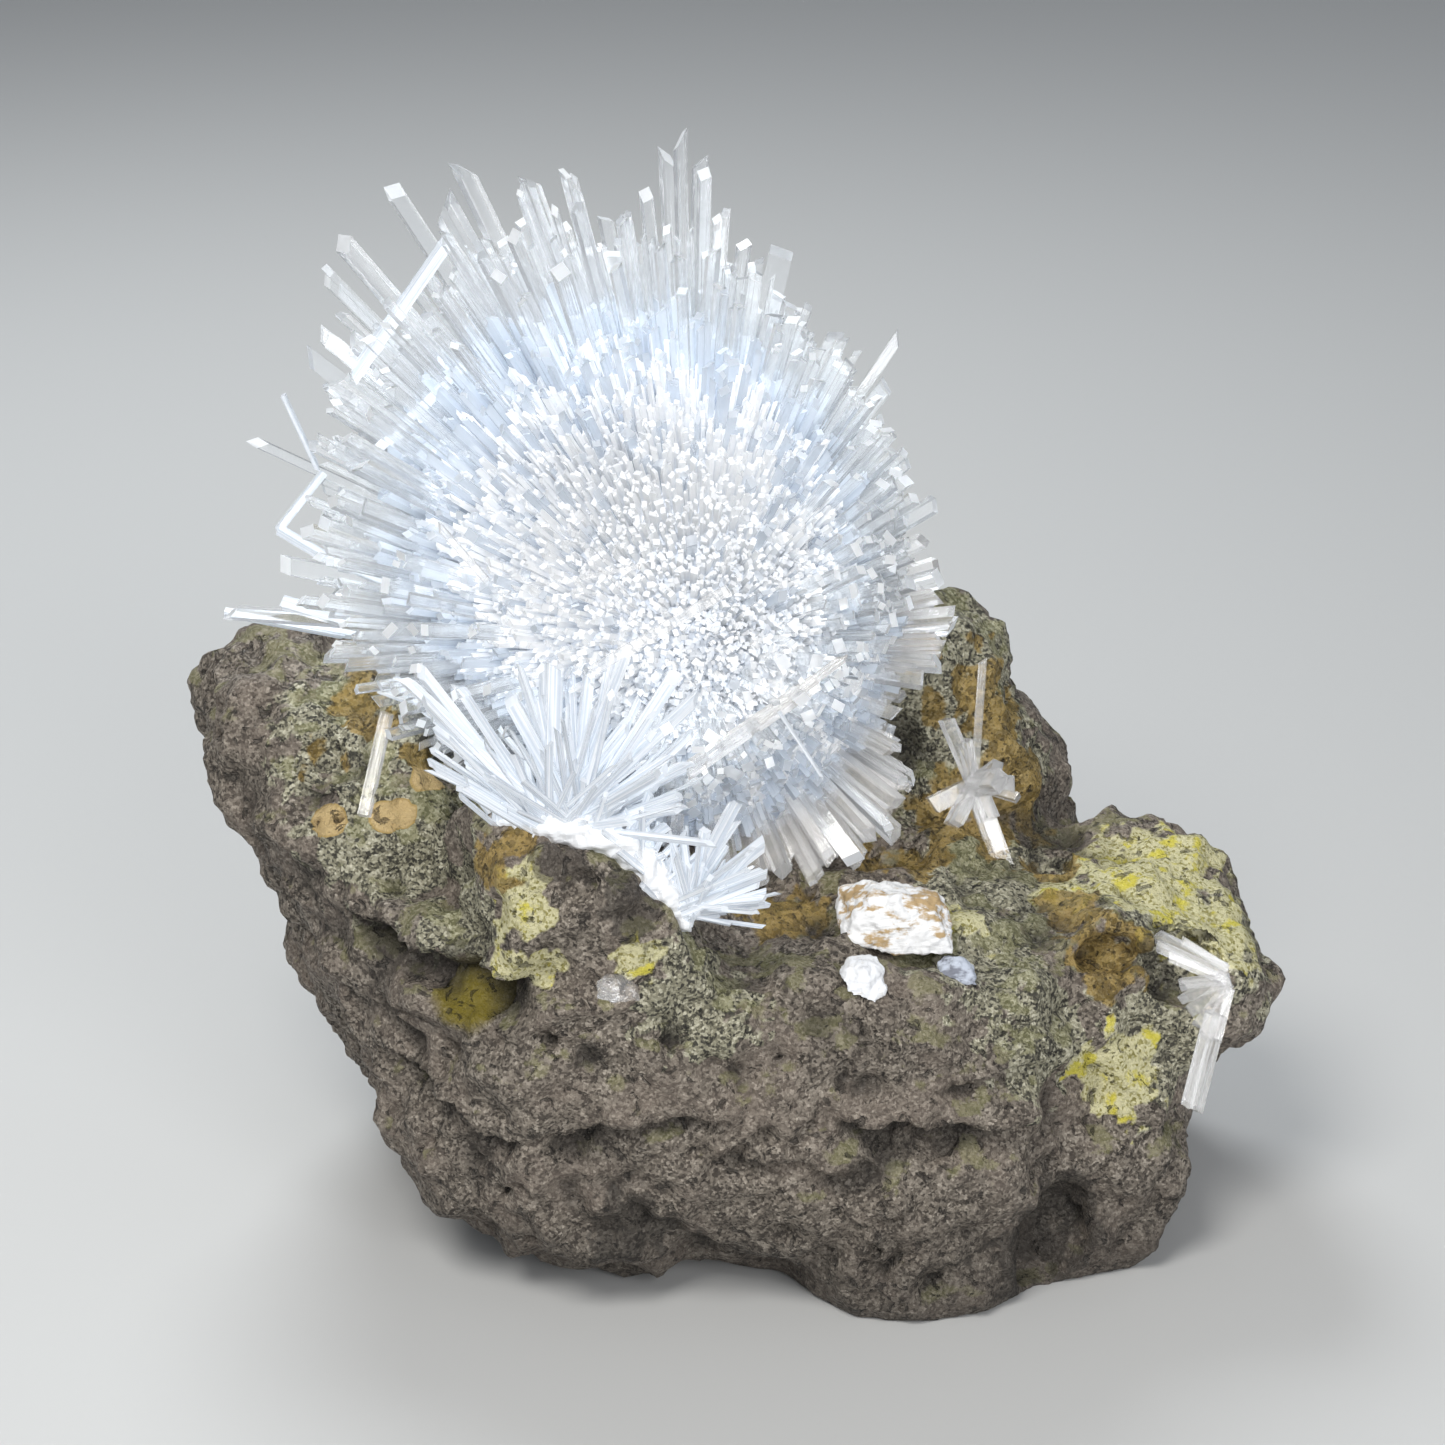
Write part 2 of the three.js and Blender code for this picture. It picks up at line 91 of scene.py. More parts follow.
world = bpy.data.worlds.new("studio")
world.use_nodes = True
world.node_tree.nodes["Background"].inputs["Color"].default_value = (0.68, 0.73, 0.80, 1)
world.node_tree.nodes["Background"].inputs["Strength"].default_value = 0.36
scene.world = world
scene.view_settings.view_transform = "Standard"
LIGHT_BOUNCES = 10
SOFT_BOUNCES = 3
scene.cycles.max_bounces = LIGHT_BOUNCES
scene.cycles.transmission_bounces = LIGHT_BOUNCES
scene.cycles.diffuse_bounces = SOFT_BOUNCES
scene.cycles.glossy_bounces = SOFT_BOUNCES


def socket_of(sockets, key):
    """A node's socket by its name, or by its place among those that the node's settings leave in use."""
    in_use = [socket for socket in sockets if socket.enabled]
    return in_use[key] if isinstance(key, int) else next(s for s in in_use if s.name == key)


def add_node(tree, kind, inputs=None, **settings):
    """Adds a node with its settings, and links or sets its inputs."""
    node = tree.nodes.new(kind)
    for name, value in settings.items():
        setattr(node, name, value)
    for key, value in (inputs or {}).items():
        socket = socket_of(node.inputs, key)
        if isinstance(value, bpy.types.NodeSocket):
            tree.links.new(value, socket)
        else:
            socket.default_value = value
    return node


def first(node, key=0):
    """A node's first output, or the one with this name or place."""
    return socket_of(node.outputs, key)


def made(tree, kind, inputs=None, **settings):
    """The first output of a new node."""
    return first(add_node(tree, kind, inputs, **settings))


def new_material(name):
    """A new material, its node tree and its Principled BSDF."""
    material = bpy.data.materials.new(name)
    material.use_nodes = True
    return material, material.node_tree, material.node_tree.nodes["Principled BSDF"]


def object_from(name, bm, looks=()):
    """A new object in the scene with what was built in the bmesh, and its materials."""
    mesh = bpy.data.meshes.new(name)
    bm.to_mesh(mesh)
    bm.free()
    for look in looks:
        mesh.materials.append(look)
    piece = bpy.data.objects.new(name, mesh)
    scene.collection.objects.link(piece)
    return piece


TABLE_HALF = 1.6
table_bm = bmesh.new()
bmesh.ops.create_grid(table_bm, x_segments=1, y_segments=1, size=TABLE_HALF)
table_look, _, table_surface = new_material("pale table")
table_surface.inputs["Base Color"].default_value = (0.55, 0.55, 0.54, 1)
table_surface.inputs["Roughness"].default_value = 0.6
table = object_from("table", table_bm, [table_look])


# ---- Basalt matrix ----
# One broken piece of fine-grained basalt with gas holes. Its crumbly faces are pitted, its pockets are
# coated with ochre and yellow-green clay, and its foot is a flat broken face.

SKIN_STEP = 0.66 * MM  # of the skin's faces
SKIN_SMOOTHING = 6


TOUCHING = 0.0001 * MM


def copied(node, name):
    """A node's mesh as a new object, with the triangles' shared corners merged."""
    bm = bmesh.new()
    bm.from_mesh(frame["nodes"][node].data)
    bmesh.ops.remove_doubles(bm, verts=bm.verts, dist=TOUCHING)
    return object_from(name, bm)


def settled(piece):
    """The piece with its modifiers made part of its mesh."""
    evaluated = piece.evaluated_get(bpy.context.evaluated_depsgraph_get())
    mesh = bpy.data.meshes.new_from_object(evaluated)
    mesh.name = piece.name
    piece.modifiers.clear()
    piece.data = mesh
    return piece


def reskinned(piece, voxel, smoothing):
    """The piece with an even skin of small faces and its facets smoothed away."""
    remesh = piece.modifiers.new("even skin", "REMESH")
    remesh.mode = "VOXEL"
    remesh.voxel_size = voxel
    smooth = piece.modifiers.new("soft facets", "SMOOTH")
    smooth.factor = 0.5
    smooth.iterations = smoothing
    return settled(piece)


def ramp01(value, low, high):
    """0 below low, 1 above high and smooth between them."""
    share = min(1.0, max(0.0, (value - low) / (high - low)))
    return share * share * (3 - 2 * share)


# Coated places, and spots of painted shade in gas holes, pockets and under overhangs: middle and radius in
# millimetres.
OCHRE = [
    ((-40.5, -4.5, 53.8), 2.6), ((-36.7, 1.5, 56.4), 3.2), ((-37, 5, 58.6), 2.4),
    ((-34.5, -1.5, 55.5), 2.2), ((-30.5, -3, 51.5), 2.6), ((-22.7, -23.4, 49.5), 3),
    ((-20.5, -22.5, 51.5), 2.2), ((39.1, -9.7, 33.6), 4.8), ((36, -4, 36.5), 3.6),
    ((34.3, 5, 37.5), 3.4), ((18.5, 2, 39), 5), ((24, 9, 41), 4.5), ((31, 10.5, 44), 7),
    ((33.5, 13.5, 50.5), 6.5), ((32, 16, 57), 5.5), ((20, 12.5, 58.5), 4), ((22.5, 11.5, 52), 2.4),
    ((6, -9, 38.5), 5), ((28.5, 12.5, 53), 4.5), ((30, 11, 47.5), 5.5), ((27.5, 9.5, 40), 4.5),
]
YELLOW = [
    ((-19.7, -25.9, 46.9), 4), ((-20.9, -26.3, 40.5), 2.4), ((-17.4, -26.2, 39.6), 2.2),
    ((44.8, 4.4, 36), 10.5), ((50, -3, 35), 6.5), ((40.3, -13.5, 22), 5), ((36, -1, 37.5), 4),
    ((-8, -27, 41), 2.4), ((25, -10, 38), 3),
]
PEACH = [
    ((-39.8, -8.4, 47.9), 2), ((-34.3, -7.9, 47.8), 1.8), ((-32.6, -7.4, 48.1), 1.7),
    ((-31.4, -4.7, 50.3), 1.8), ((-29.8, -4.7, 50.3), 1.6),
]
VELVET = [((-25.2, -22.4, 35.2), 4)]
# Painted shade: dark spots where gas holes, pockets and overhangs lie in shade.
PAINTED_SHADE_SPOTS = [
    ((-40.9, -5, 53.2), 1.5), ((-15.5, -25.3, 50.2), 2.8), ((-8.5, -26.4, 47), 4.4),
    ((-26.5, -22, 39), 2.6), ((-13.2, -28, 31.1), 1.6), ((-4.8, -27.6, 32.8), 1.6),
    ((34.3, 7, 37.3), 2.4), ((46.8, -6.8, 31.2), 4), ((-8.7, -26, 10.4), 5), ((32, -19.7, 6.8), 7),
]
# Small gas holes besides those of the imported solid: middle, radius and depth in millimetres.
GAS_HOLES = [
    ((-13.2, -28.8, 31.1), 1.7, 1.6), ((-4.8, -28.1, 32.8), 1.5, 1.8), ((-15.5, -26.4, 50.6), 2.2, 1),
    ((-40.7, -4.8, 53.5), 1.7, 2.4), ((4, -27.6, 22), 1.3, 1), ((12, -28, 28), 1.1, 1),
    ((-30, -17, 30), 1.4, 1), ((46, -13, 27), 1.2, 1),
]
# The relief on the broken faces: sizes and heights in millimetres.
LUMPS = ((11.0, 2.0), (5.5, 1.4), (2.8, 0.8), (1.5, 0.4))
CRAG_SIZE = 6.5
CRAG_RISE = 0.8
CRUMB_SIZE = 2.3
CRUMB_RISE = 0.7
PIT_SIZE = 3.1
SMALL_PIT_SIZE = 1.4
PIT_DEPTH = 1.3
PIT_REGIONS = 13
BEND = 0.9
BEND_SIZE = 1.6
# Faces that broke off fresh, with their grains still bright: middle and radius in millimetres.
FRESH = [
    ((-35.5, -2, 54), 10.5), ((-33, -8, 46), 9), ((-26, -20, 43), 7), ((25, 12, 52), 17),
    ((30, 2, 38), 12), ((26, -14, 36), 9), ((46, 0, 34), 12.5), ((44, -12, 24), 7), ((-2, -26, 37), 7),
    ((32, -18, 29), 8),
]
# Overhung lines in the broken faces: start, end, width and depth in millimetres.
OVERHANGS = [
    ((-34.6, -16.5, 40), (-23.5, -24.2, 38), 2.4, 2.6),
    ((-20, -27, 33), (-12, -29, 35), 1.6, 1),
    ((25, -26, 25.5), (35, -20, 28.5), 2, 1.3),
    ((2, -29, 19), (12, -28.5, 17.5), 2, 1.4),
    ((-31, -19, 25), (-24, -24, 21.5), 2.2, 1.6),
    ((17, -28, 22.5), (27, -26, 21), 2.6, 2.2),
    ((-14, -28, 22), (-4, -29, 24.5), 2, 1.3),
]


def nearness(point, places, raggedness=1.0):
    """How deep a point lies in the nearest of the places, with a ragged edge: 0 outside, 1 inside."""
    best = 0.0
    for middle, radius in places:
        away = (point - Vector(middle)).length / radius
        if away < 1.6:
            bays = 0.6 * noise.noise(point * 0.42) + 0.4 * noise.noise(point * 1.1)
            ragged = away + raggedness * bays
            best = max(best, 1 - ramp01(ragged, 0.7, 1.1))
    return best


def from_line(point, start, end):
    """How far a point lies from a line between two others, and how far it lies below that line."""
    start, along = Vector(start), Vector(end) - Vector(start)
    share = min(1.0, max(0.0, (point - start).dot(along) / along.length_squared))
    nearest = start + along * share
    return (point - nearest).length, nearest.z - point.z


def drift(point):
    """A soft random shift of a place, the same in every run."""
    apart = Vector((9.3, 31.7, 5.1))
    return Vector([noise.noise(point + axis * apart) for axis in range(3)])


def rock_relief(point):
    """Height of the crumbly relief above the smooth face, in millimetres."""
    height = 0.0
    for index, (size, rise) in enumerate(LUMPS):
        height += rise * noise.noise(point / size + Vector((17.0 * index, 0, 0)))
    crags = 1 - 2 * abs(noise.noise(point / CRAG_SIZE + Vector((0, 40, 0))))
    height += CRAG_RISE * (crags - 0.6)
    bent = point + BEND * drift(point / BEND_SIZE)
    crumbs = noise.voronoi(bent / CRUMB_SIZE, distance_metric="DISTANCE", exponent=2.5)[0]
    height += CRUMB_RISE * (0.42 - crumbs[0])
    pitted = noise.noise(bent / PIT_SIZE + Vector((5, 9, 2)))
    pitted += 0.55 * noise.noise(bent / SMALL_PIT_SIZE + Vector((3, 1, 8)))
    height -= PIT_DEPTH * ramp01(pitted, 0.34, 0.8) * ramp01(noise.noise(point / PIT_REGIONS), -0.45, 0.25)
    for middle, radius, depth in GAS_HOLES:
        away = (point - Vector(middle)).length / radius
        if away < 1.3:
            height -= depth * (1 - ramp01(away, 0.4, 1.2))
    for start, end, width, depth in OVERHANGS:
        away, below = from_line(point + 1.6 * drift(point / 4), start, end)
        if away < 3 * width:
            under = ramp01(below, -0.5, 0.3) * (1 - ramp01(below, 0.4, 2.2 * width))
            over = (1 - ramp01(below, -0.3, 0.2)) * ramp01(below, -1.6 * width, -0.3)
            height += depth * (0.45 * over - under) * (1 - ramp01(away, 1.2 * width, 3 * width))
    return height


matrix = reskinned(copied("basalt_matrix", "basalt_matrix_crust"), SKIN_STEP, SKIN_SMOOTHING)
FOOT_EDGE = 2.5  # millimetres above the foot over which the relief grows to its full height
rock_mesh = matrix.data
rock_normals = [Vector(normal.vector) for normal in rock_mesh.vertex_normals]
coats = rock_mesh.color_attributes.new("coats", "FLOAT_COLOR", "POINT")
faces = rock_mesh.color_attributes.new("faces", "FLOAT_COLOR", "POINT")
for vertex, normal in zip(rock_mesh.vertices, rock_normals):
    point = vertex.co / MM
    relief = rock_relief(point)
    coats.data[vertex.index].color = (
        nearness(point, OCHRE),
        nearness(point, YELLOW),
        nearness(point, PAINTED_SHADE_SPOTS),
        nearness(point, PEACH, 0.2),
    )
    # Painted shade: how low each place of the relief lies goes into the faces' second channel, where the
    # colour is darkened.
    recess_shade = ramp01(relief, -2.8, 1.4)
    faces.data[vertex.index].color = (nearness(point, FRESH), recess_shade, nearness(point, VELVET, 0.15), 1)
    if normal.z > -0.95 or point.z > FOOT_EDGE:
        vertex.co += normal * relief * MM * ramp01(point.z, 0, FOOT_EDGE)
    vertex.co.z = max(0.0, vertex.co.z)
for polygon in rock_mesh.polygons:
    polygon.use_smooth = True

# The grains of the rock: a chance value for each grain, its relief, and pits between some of them.
grain_group = bpy.data.node_groups.new("mineral grain", "ShaderNodeTree")
grain_group.interface.new_socket("Grains per Metre", in_out="INPUT", socket_type="NodeSocketFloat")
for output in ("Chance", "Height", "Pit"):
    grain_group.interface.new_socket(output, in_out="OUTPUT", socket_type="NodeSocketFloat")
grain_in = grain_group.nodes.new("NodeGroupInput")
grain_out = grain_group.nodes.new("NodeGroupOutput")
grain_place = first(add_node(grain_group, "ShaderNodeTexCoord"), "Object")
grain_scale = grain_in.outputs[0]
ragged_settings = {"Vector": grain_place, "Scale": grain_scale, "Detail": 3.0, "Roughness": 0.65}
ragged_noise = add_node(grain_group, "ShaderNodeTexNoise", ragged_settings)
GRAIN_SHAKE = 0.22 * MM
shake_settings = {0: first(ragged_noise, "Color"), "Scale": GRAIN_SHAKE}
shake = add_node(grain_group, "ShaderNodeVectorMath", shake_settings, operation="SCALE")
shaken = add_node(grain_group, "ShaderNodeVectorMath", {0: grain_place, 1: first(shake)}, operation="ADD")
cell_settings = {"Vector": first(shaken), "Scale": grain_scale, "Randomness": 1.0}
grain_cells = add_node(grain_group, "ShaderNodeTexVoronoi", cell_settings, feature="F1")
grain_value = add_node(grain_group, "ShaderNodeSeparateColor", {"Color": first(grain_cells, "Color")})
height_inputs = {0: first(grain_value, 1), 1: first(ragged_noise)}
grain_height = add_node(grain_group, "ShaderNodeMath", height_inputs, operation="ADD")
pit_scale = made(grain_group, "ShaderNodeMath", {0: grain_scale, 1: 0.42}, operation="MULTIPLY")
pit_settings = {"Vector": grain_place, "Scale": pit_scale, "Detail": 3.0, "Roughness": 0.6}
pit_noise = made(grain_group, "ShaderNodeTexNoise", {**pit_settings, "Distortion": 0.6})
pit_range = {"Value": pit_noise, "From Min": 0.6, "From Max": 0.68}
pit = add_node(grain_group, "ShaderNodeMapRange", pit_range, interpolation_type="SMOOTHSTEP")
grain_group.links.new(first(grain_value), grain_out.inputs[0])
grain_group.links.new(first(grain_height), grain_out.inputs[1])
grain_group.links.new(first(pit), grain_out.inputs[2])


def grains(tree, per_metre):
    """The grain group as a node, with so many grains to the metre."""
    node = tree.nodes.new("ShaderNodeGroup")
    node.node_tree = grain_group
    node.inputs[0].default_value = per_metre
    return node


def classes(tree, value, stops):
    """Colours by ranges of a value: each stop is where a range begins and its colour."""
    node = tree.nodes.new("ShaderNodeValToRGB")
    ramp = node.color_ramp
    ramp.interpolation = "LINEAR"
    while len(ramp.elements) < len(stops):
        ramp.elements.new(1.0)
    for element, (begin, colour) in zip(ramp.elements, stops):
        element.position = begin
        element.color = (*colour, 1)
    tree.links.new(value, node.inputs[0])
    return first(node)


def mixed(tree, share, under, over):
    """One colour over another, by a share."""
    inputs = {"Factor": share, "A": under, "B": over}
    return made(tree, "ShaderNodeMix", inputs, data_type="RGBA")


def ranged(tree, value, low, high, to_low=0.0, to_high=1.0):
    """A value moved from one range to another, and held inside it."""
    settings = {"Value": value, "From Min": low, "From Max": high, "To Min": to_low, "To Max": to_high}
    return made(tree, "ShaderNodeMapRange", settings, interpolation_type="SMOOTHSTEP")


def blotches(tree, per_metre, detail=4.0, shift=0.0):
    """Soft noise over the piece, with so many blotches to the metre."""
    place = first(add_node(tree, "ShaderNodeTexCoord"), "Object")
    moved = add_node(tree, "ShaderNodeMapping", {"Vector": place, "Location": (shift, shift, 0)})
    settings = {"Vector": first(moved), "Scale": per_metre, "Detail": detail, "Roughness": 0.6}
    return made(tree, "ShaderNodeTexNoise", settings)


def maths(tree, operation, a, b, c=0.0):
    """One sum of two or three values."""
    inputs = {0: a, 1: b, 2: c} if operation == "MULTIPLY_ADD" else {0: a, 1: b}
    return made(tree, "ShaderNodeMath", inputs, operation=operation)


basalt, tree, surface = new_material("basalt")
WEATHERED_GRAINS = [
    (0.0, (0.03, 0.024, 0.019)),
    (0.3, (0.075, 0.062, 0.05)),
    (0.46, (0.155, 0.131, 0.104)),
    (0.7, (0.225, 0.193, 0.155)),
    (1.0, (0.42, 0.368, 0.305)),
]
FRESH_GRAINS = [
    (0.0, (0.024, 0.022, 0.018)),
    (0.3, (0.07, 0.066, 0.05)),
    (0.44, (0.20, 0.187, 0.128)),
    (0.68, (0.36, 0.34, 0.245)),
    (1.0, (0.62, 0.59, 0.46)),
]
# Near-black: the real dark specks in the ochre, and painted shade in hollows, pits, low places of the
# relief and at the foot.
DARK_SPECK_AND_SHADE = (0.02, 0.017, 0.014, 1)
PINK_STAIN = (0.265, 0.212, 0.172, 1)
GREEN_DUST = (0.25, 0.245, 0.10, 1)
OCHRE_CLAY = (0.33, 0.225, 0.062, 1)
DEEP_OCHRE = (0.16, 0.105, 0.022, 1)
YELLOW_CREAM = (0.64, 0.60, 0.35, 1)
BRIGHT_YELLOW = (0.66, 0.58, 0.07, 1)
OLIVE_CLAY = (0.30, 0.27, 0.085, 1)
VELVET_OLIVE = (0.17, 0.132, 0.006, 1)
PEACH_CLAY = (0.52, 0.38, 0.18, 1)
PEACH_RIM = (0.40, 0.28, 0.10, 1)
# Heights between which the painted shade of the foot fades out.
FOOT_SHADE_START = 2 * MM
FOOT_SHADE_END = 17 * MM
FINE_PER_METRE = 3600
COARSE_PER_METRE = 1500
FINE_DEPTH = 0.22 * MM
COARSE_DEPTH = 0.45 * MM
coat_and_shade = add_node(tree, "ShaderNodeVertexColor", layer_name="coats")
coat_and_shade_parts = add_node(tree, "ShaderNodeSeparateColor", {"Color": first(coat_and_shade)})
face = add_node(tree, "ShaderNodeVertexColor", layer_name="faces")
face_parts = add_node(tree, "ShaderNodeSeparateColor", {"Color": first(face)})
geometry = add_node(tree, "ShaderNodeNewGeometry")
upward = first(add_node(tree, "ShaderNodeSeparateXYZ", {0: first(geometry, "Normal")}), "Z")
fine = grains(tree, FINE_PER_METRE)
coarse = grains(tree, COARSE_PER_METRE)
small_blotch = blotches(tree, 900, 4.0)
large_blotch = blotches(tree, 130, 4.0, 5.0)


def ragged(mask, low=0.35, high=0.62, amount=0.9):
    """A mask whose edge breaks up into grains."""
    edge = maths(tree, "MULTIPLY_ADD", small_blotch, amount, -amount / 2)
    return ranged(tree, maths(tree, "ADD", mask, edge), low, high)


def laid_over(under, mask, strength, over_colour):
    """A colour with a second one laid over it by a mask and strength; it lays both coatings and painted
    shade.
    """
    return mixed(tree, maths(tree, "MULTIPLY", mask, strength), under, over_colour)


chance_of = maths(tree, "MULTIPLY_ADD", first(coarse), 0.35, 0.0)
chance_of = maths(tree, "ADD", maths(tree, "MULTIPLY", first(fine), 0.65), chance_of)
weathered = classes(tree, chance_of, WEATHERED_GRAINS)
weathered = mixed(tree, ranged(tree, large_blotch, 0.42, 0.64, 0.0, 0.35), weathered, PINK_STAIN)
fresh = classes(tree, chance_of, FRESH_GRAINS)
colour = mixed(tree, ragged(first(face_parts, 0)), weathered, fresh)
dusty = ranged(tree, blotches(tree, 190, 5.0, 7.0), 0.44, 0.62)
dust = maths(tree, "MULTIPLY", ranged(tree, upward, 0.0, 0.8), dusty)
colour = laid_over(colour, ragged(dust, 0.3, 0.7), 0.42, GREEN_DUST)
yellow = mixed(tree, ranged(tree, first(fine), 0.05, 0.45), OLIVE_CLAY, YELLOW_CREAM)
yellow = mixed(tree, ranged(tree, blotches(tree, 330, 5.0, 3.0), 0.53, 0.63), yellow, BRIGHT_YELLOW)
colour = laid_over(colour, ragged(first(coat_and_shade_parts, 1), 0.3, 0.7), 0.85, yellow)
ochre = mixed(tree, ranged(tree, first(coarse), 0.1, 0.7), DEEP_OCHRE, OCHRE_CLAY)
ochre = mixed(tree, ranged(tree, first(fine), 0.0, 0.2, 0.7, 0.0), ochre, DARK_SPECK_AND_SHADE)
colour = laid_over(colour, ragged(first(coat_and_shade_parts, 0), 0.3, 0.75), 0.86, ochre)
# Painted shade: the spots in the third channel are darkened.
colour = laid_over(colour, ragged(first(coat_and_shade_parts, 2), 0.3, 0.8), 0.6, DARK_SPECK_AND_SHADE)
colour = laid_over(colour, first(face_parts, 2), 0.93, VELVET_OLIVE)
peach = mixed(tree, ranged(tree, first(coat_and_shade, "Alpha"), 0.45, 0.75), PEACH_RIM, PEACH_CLAY)
colour = mixed(tree, ragged(first(coat_and_shade, "Alpha"), 0.3, 0.42, 0.18), colour, peach)
# Painted shade: the pits between the coarse grains are darkened.
colour = laid_over(colour, first(coarse, 2), 0.6, DARK_SPECK_AND_SHADE)
# Painted shade: the low places of the relief are darkened.
colour = mixed(tree, ranged(tree, first(face_parts, 1), 0.0, 0.55, 0.75, 0.0), colour, DARK_SPECK_AND_SHADE)
# Painted shade: the foot darkens towards the table, where it lies in shadow under the light from above.
object_place = first(add_node(tree, "ShaderNodeTexCoord"), "Object")
above_foot = first(add_node(tree, "ShaderNodeSeparateXYZ", {0: object_place}), "Z")
colour = mixed(tree, ranged(tree, above_foot, FOOT_SHADE_START, FOOT_SHADE_END, 0.5, 0.0), colour, DARK_SPECK_AND_SHADE)
tree.links.new(colour, surface.inputs["Base Color"])
tree.links.new(ranged(tree, first(fine), 0.0, 1.0, 0.95, 0.55), surface.inputs["Roughness"])
fine_settings = {"Strength": 0.9, "Distance": FINE_DEPTH, "Height": first(fine, 1)}
fine_bump = made(tree, "ShaderNodeBump", fine_settings)
pitted_grains = maths(tree, "MULTIPLY_ADD", first(coarse, 2), -1.6, first(coarse, 1))
coarse_settings = {"Strength": 0.9, "Distance": COARSE_DEPTH, "Height": pitted_grains, "Normal": fine_bump}
coarse_bump = add_node(tree, "ShaderNodeBump", coarse_settings)
tree.links.new(first(coarse_bump), surface.inputs["Normal"])
rock_mesh.materials.clear()
rock_mesh.materials.append(basalt)
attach(matrix, "root")
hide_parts("basalt_matrix")


# ---- Scolecite ball ----
# Thousands of square scolecite needles grew from one point on the cavity's wall. They are packed and milky
# near that point, bluish where they begin to part, and clear as glass at their ends, broken off in steps.

BALL_CENTRE = Vector((-3.2, 8.0, 60.4)) * MM
LONG_REACH = 54 * MM
SHORT_REACH = 27 * MM
CROWDED = -0.35
ACROSS = Vector((1, 0, 0))
RISE = Vector((0, math.sin(SHOW_TILT), math.cos(SHOW_TILT)))
OUT = Vector((0, -math.cos(SHOW_TILT), math.sin(SHOW_TILT)))


def way(angle, lean=0.0):
    """A direction by its angle up from +X on the showing side and its lean out of it, in degrees."""
    angle, lean = math.radians(angle), math.radians(lean)
    flat = math.cos(lean)
    return ACROSS * math.cos(angle) * flat + RISE * math.sin(angle) * flat + OUT * math.sin(lean)


FREE_SIDE = way(125, 25)


def reach_along(direction, long_reach, short_reach):
    """How far the ball reaches in a direction: long on its free side, short where it is crowded."""
    freedom = min(1.0, max(0.0, (direction.dot(FREE_SIDE) - CROWDED) / (1 - CROWDED)))
    return short_reach + (long_reach - short_reach) * freedom**2


# A needle is one to three square prisms side by side, each cut off at its own slanting height. Across and
# along are in shares of the needle's width and length: middle, width, depth, foot, top and slant.
NEEDLE_FORMS = {
    "single": [((0, 0), 1, 0.9, 0, 1, (0.015, -0.02))],
    "flat": [((0, 0), 1, 0.6, 0, 1, (0.008, 0.025))],
    "steep": [((0, 0), 0.85, 0.85, 0, 1, (0.03, 0.02))],
    "chisel": [((0, 0), 0.9, 1, 0, 1, (-0.035, 0.01))],
    "twin": [
        ((-0.27, 0), 0.5, 0.95, 0, 1, (0.01, 0.022)),
        ((0.27, 0.05), 0.5, 0.8, 0, 0.95, (-0.022, 0.01)),
    ],
    "triple": [
        ((-0.26, -0.1), 0.5, 0.7, 0, 0.97, (0.014, 0.014)),
        ((0.25, -0.06), 0.46, 0.75, 0, 1, (0, -0.022)),
        ((0, 0.42), 0.7, 0.26, 0, 0.92, (0.016, 0)),
    ],
}


def add_prism(bm, tip_mark, strands, middle, width, depth, foot, top, slant):
    """Adds a closed square prism with a slanting top, whose face is marked as a broken tip."""
    corners = [(-1, -1), (1, -1), (1, 1), (-1, 1)]
    low, high = [], []
    for side_x, side_y in corners:
        x = middle[0] + side_x * width / 2
        y = middle[1] + side_y * depth / 2
        low.append(bm.verts.new((x, y, foot)))
        high.append(bm.verts.new((x, y, top + side_x * slant[0] + side_y * slant[1])))
    bm.faces.new(low[::-1])
    bm.faces.new(high)[tip_mark] = True
    for k in range(4):
        after = (k + 1) % 4
        side = bm.faces.new((low[k], low[after], high[after], high[k]))
        for loop, uv in zip(side.loops, ((k, foot), (k + 1, foot), (k + 1, top), (k, top))):
            loop[strands].uv = uv


needle_shelf = bpy.data.collections.new("needle forms")
for form, prisms in NEEDLE_FORMS.items():
    bm = bmesh.new()
    tip_mark = bm.faces.layers.bool.new("tip")
    strands = bm.loops.layers.uv.new("strands")
    for prism in prisms:
        add_prism(bm, tip_mark, strands, *prism)
    needle_mesh = bpy.data.meshes.new(form + " needle")
    bm.to_mesh(needle_mesh)
    bm.free()
    needle_shelf.objects.link(bpy.data.objects.new(form + " needle", needle_mesh))

# The tree that grows needles out of a point: evenly spread directions, each with a reach of its own, cut
# short where the rock is in the way.
NEEDLE_INPUTS = {
    "Needles": 1000,
    "Seed": 1,
    "Centre": (0.0, 0.0, 0.0),
    "Free Side": (0.0, 0.0, 1.0),
    "Crowded": CROWDED,
    "Cone": -1.0,
    "Long Reach": LONG_REACH,
    "Short Reach": SHORT_REACH,
    "Root": 0.4,
    "Shortest": 0.6,
    "Longest": 0.7,
    "Rarity of Long": 1.0,
    "Thinnest": 0.8 * MM,
    "Widest": 1.5 * MM,
    "Sway": 0.05,
    "Scatter": 0.3,
    "Clumps": 9.0,
    "Clumping": 0.6,
    "Bare Side": (0.0, 0.0, 1.0),
    "Bare Cone": 2.0,
    "Kept Cone": -2.0,
}
THING_INPUTS = {
    "Rock": "NodeSocketObject",
    "Forms": "NodeSocketCollection",
    "Crystal": "NodeSocketMaterial",
    "Broken Tip": "NodeSocketMaterial",
}
SOCKET_KINDS = {int: "NodeSocketInt", float: "NodeSocketFloat", tuple: "NodeSocketVector"}
grow = bpy.data.node_groups.new("grow needles", "GeometryNodeTree")
grow.interface.new_socket("Geometry", in_out="INPUT", socket_type="NodeSocketGeometry")
grow_sockets = {}
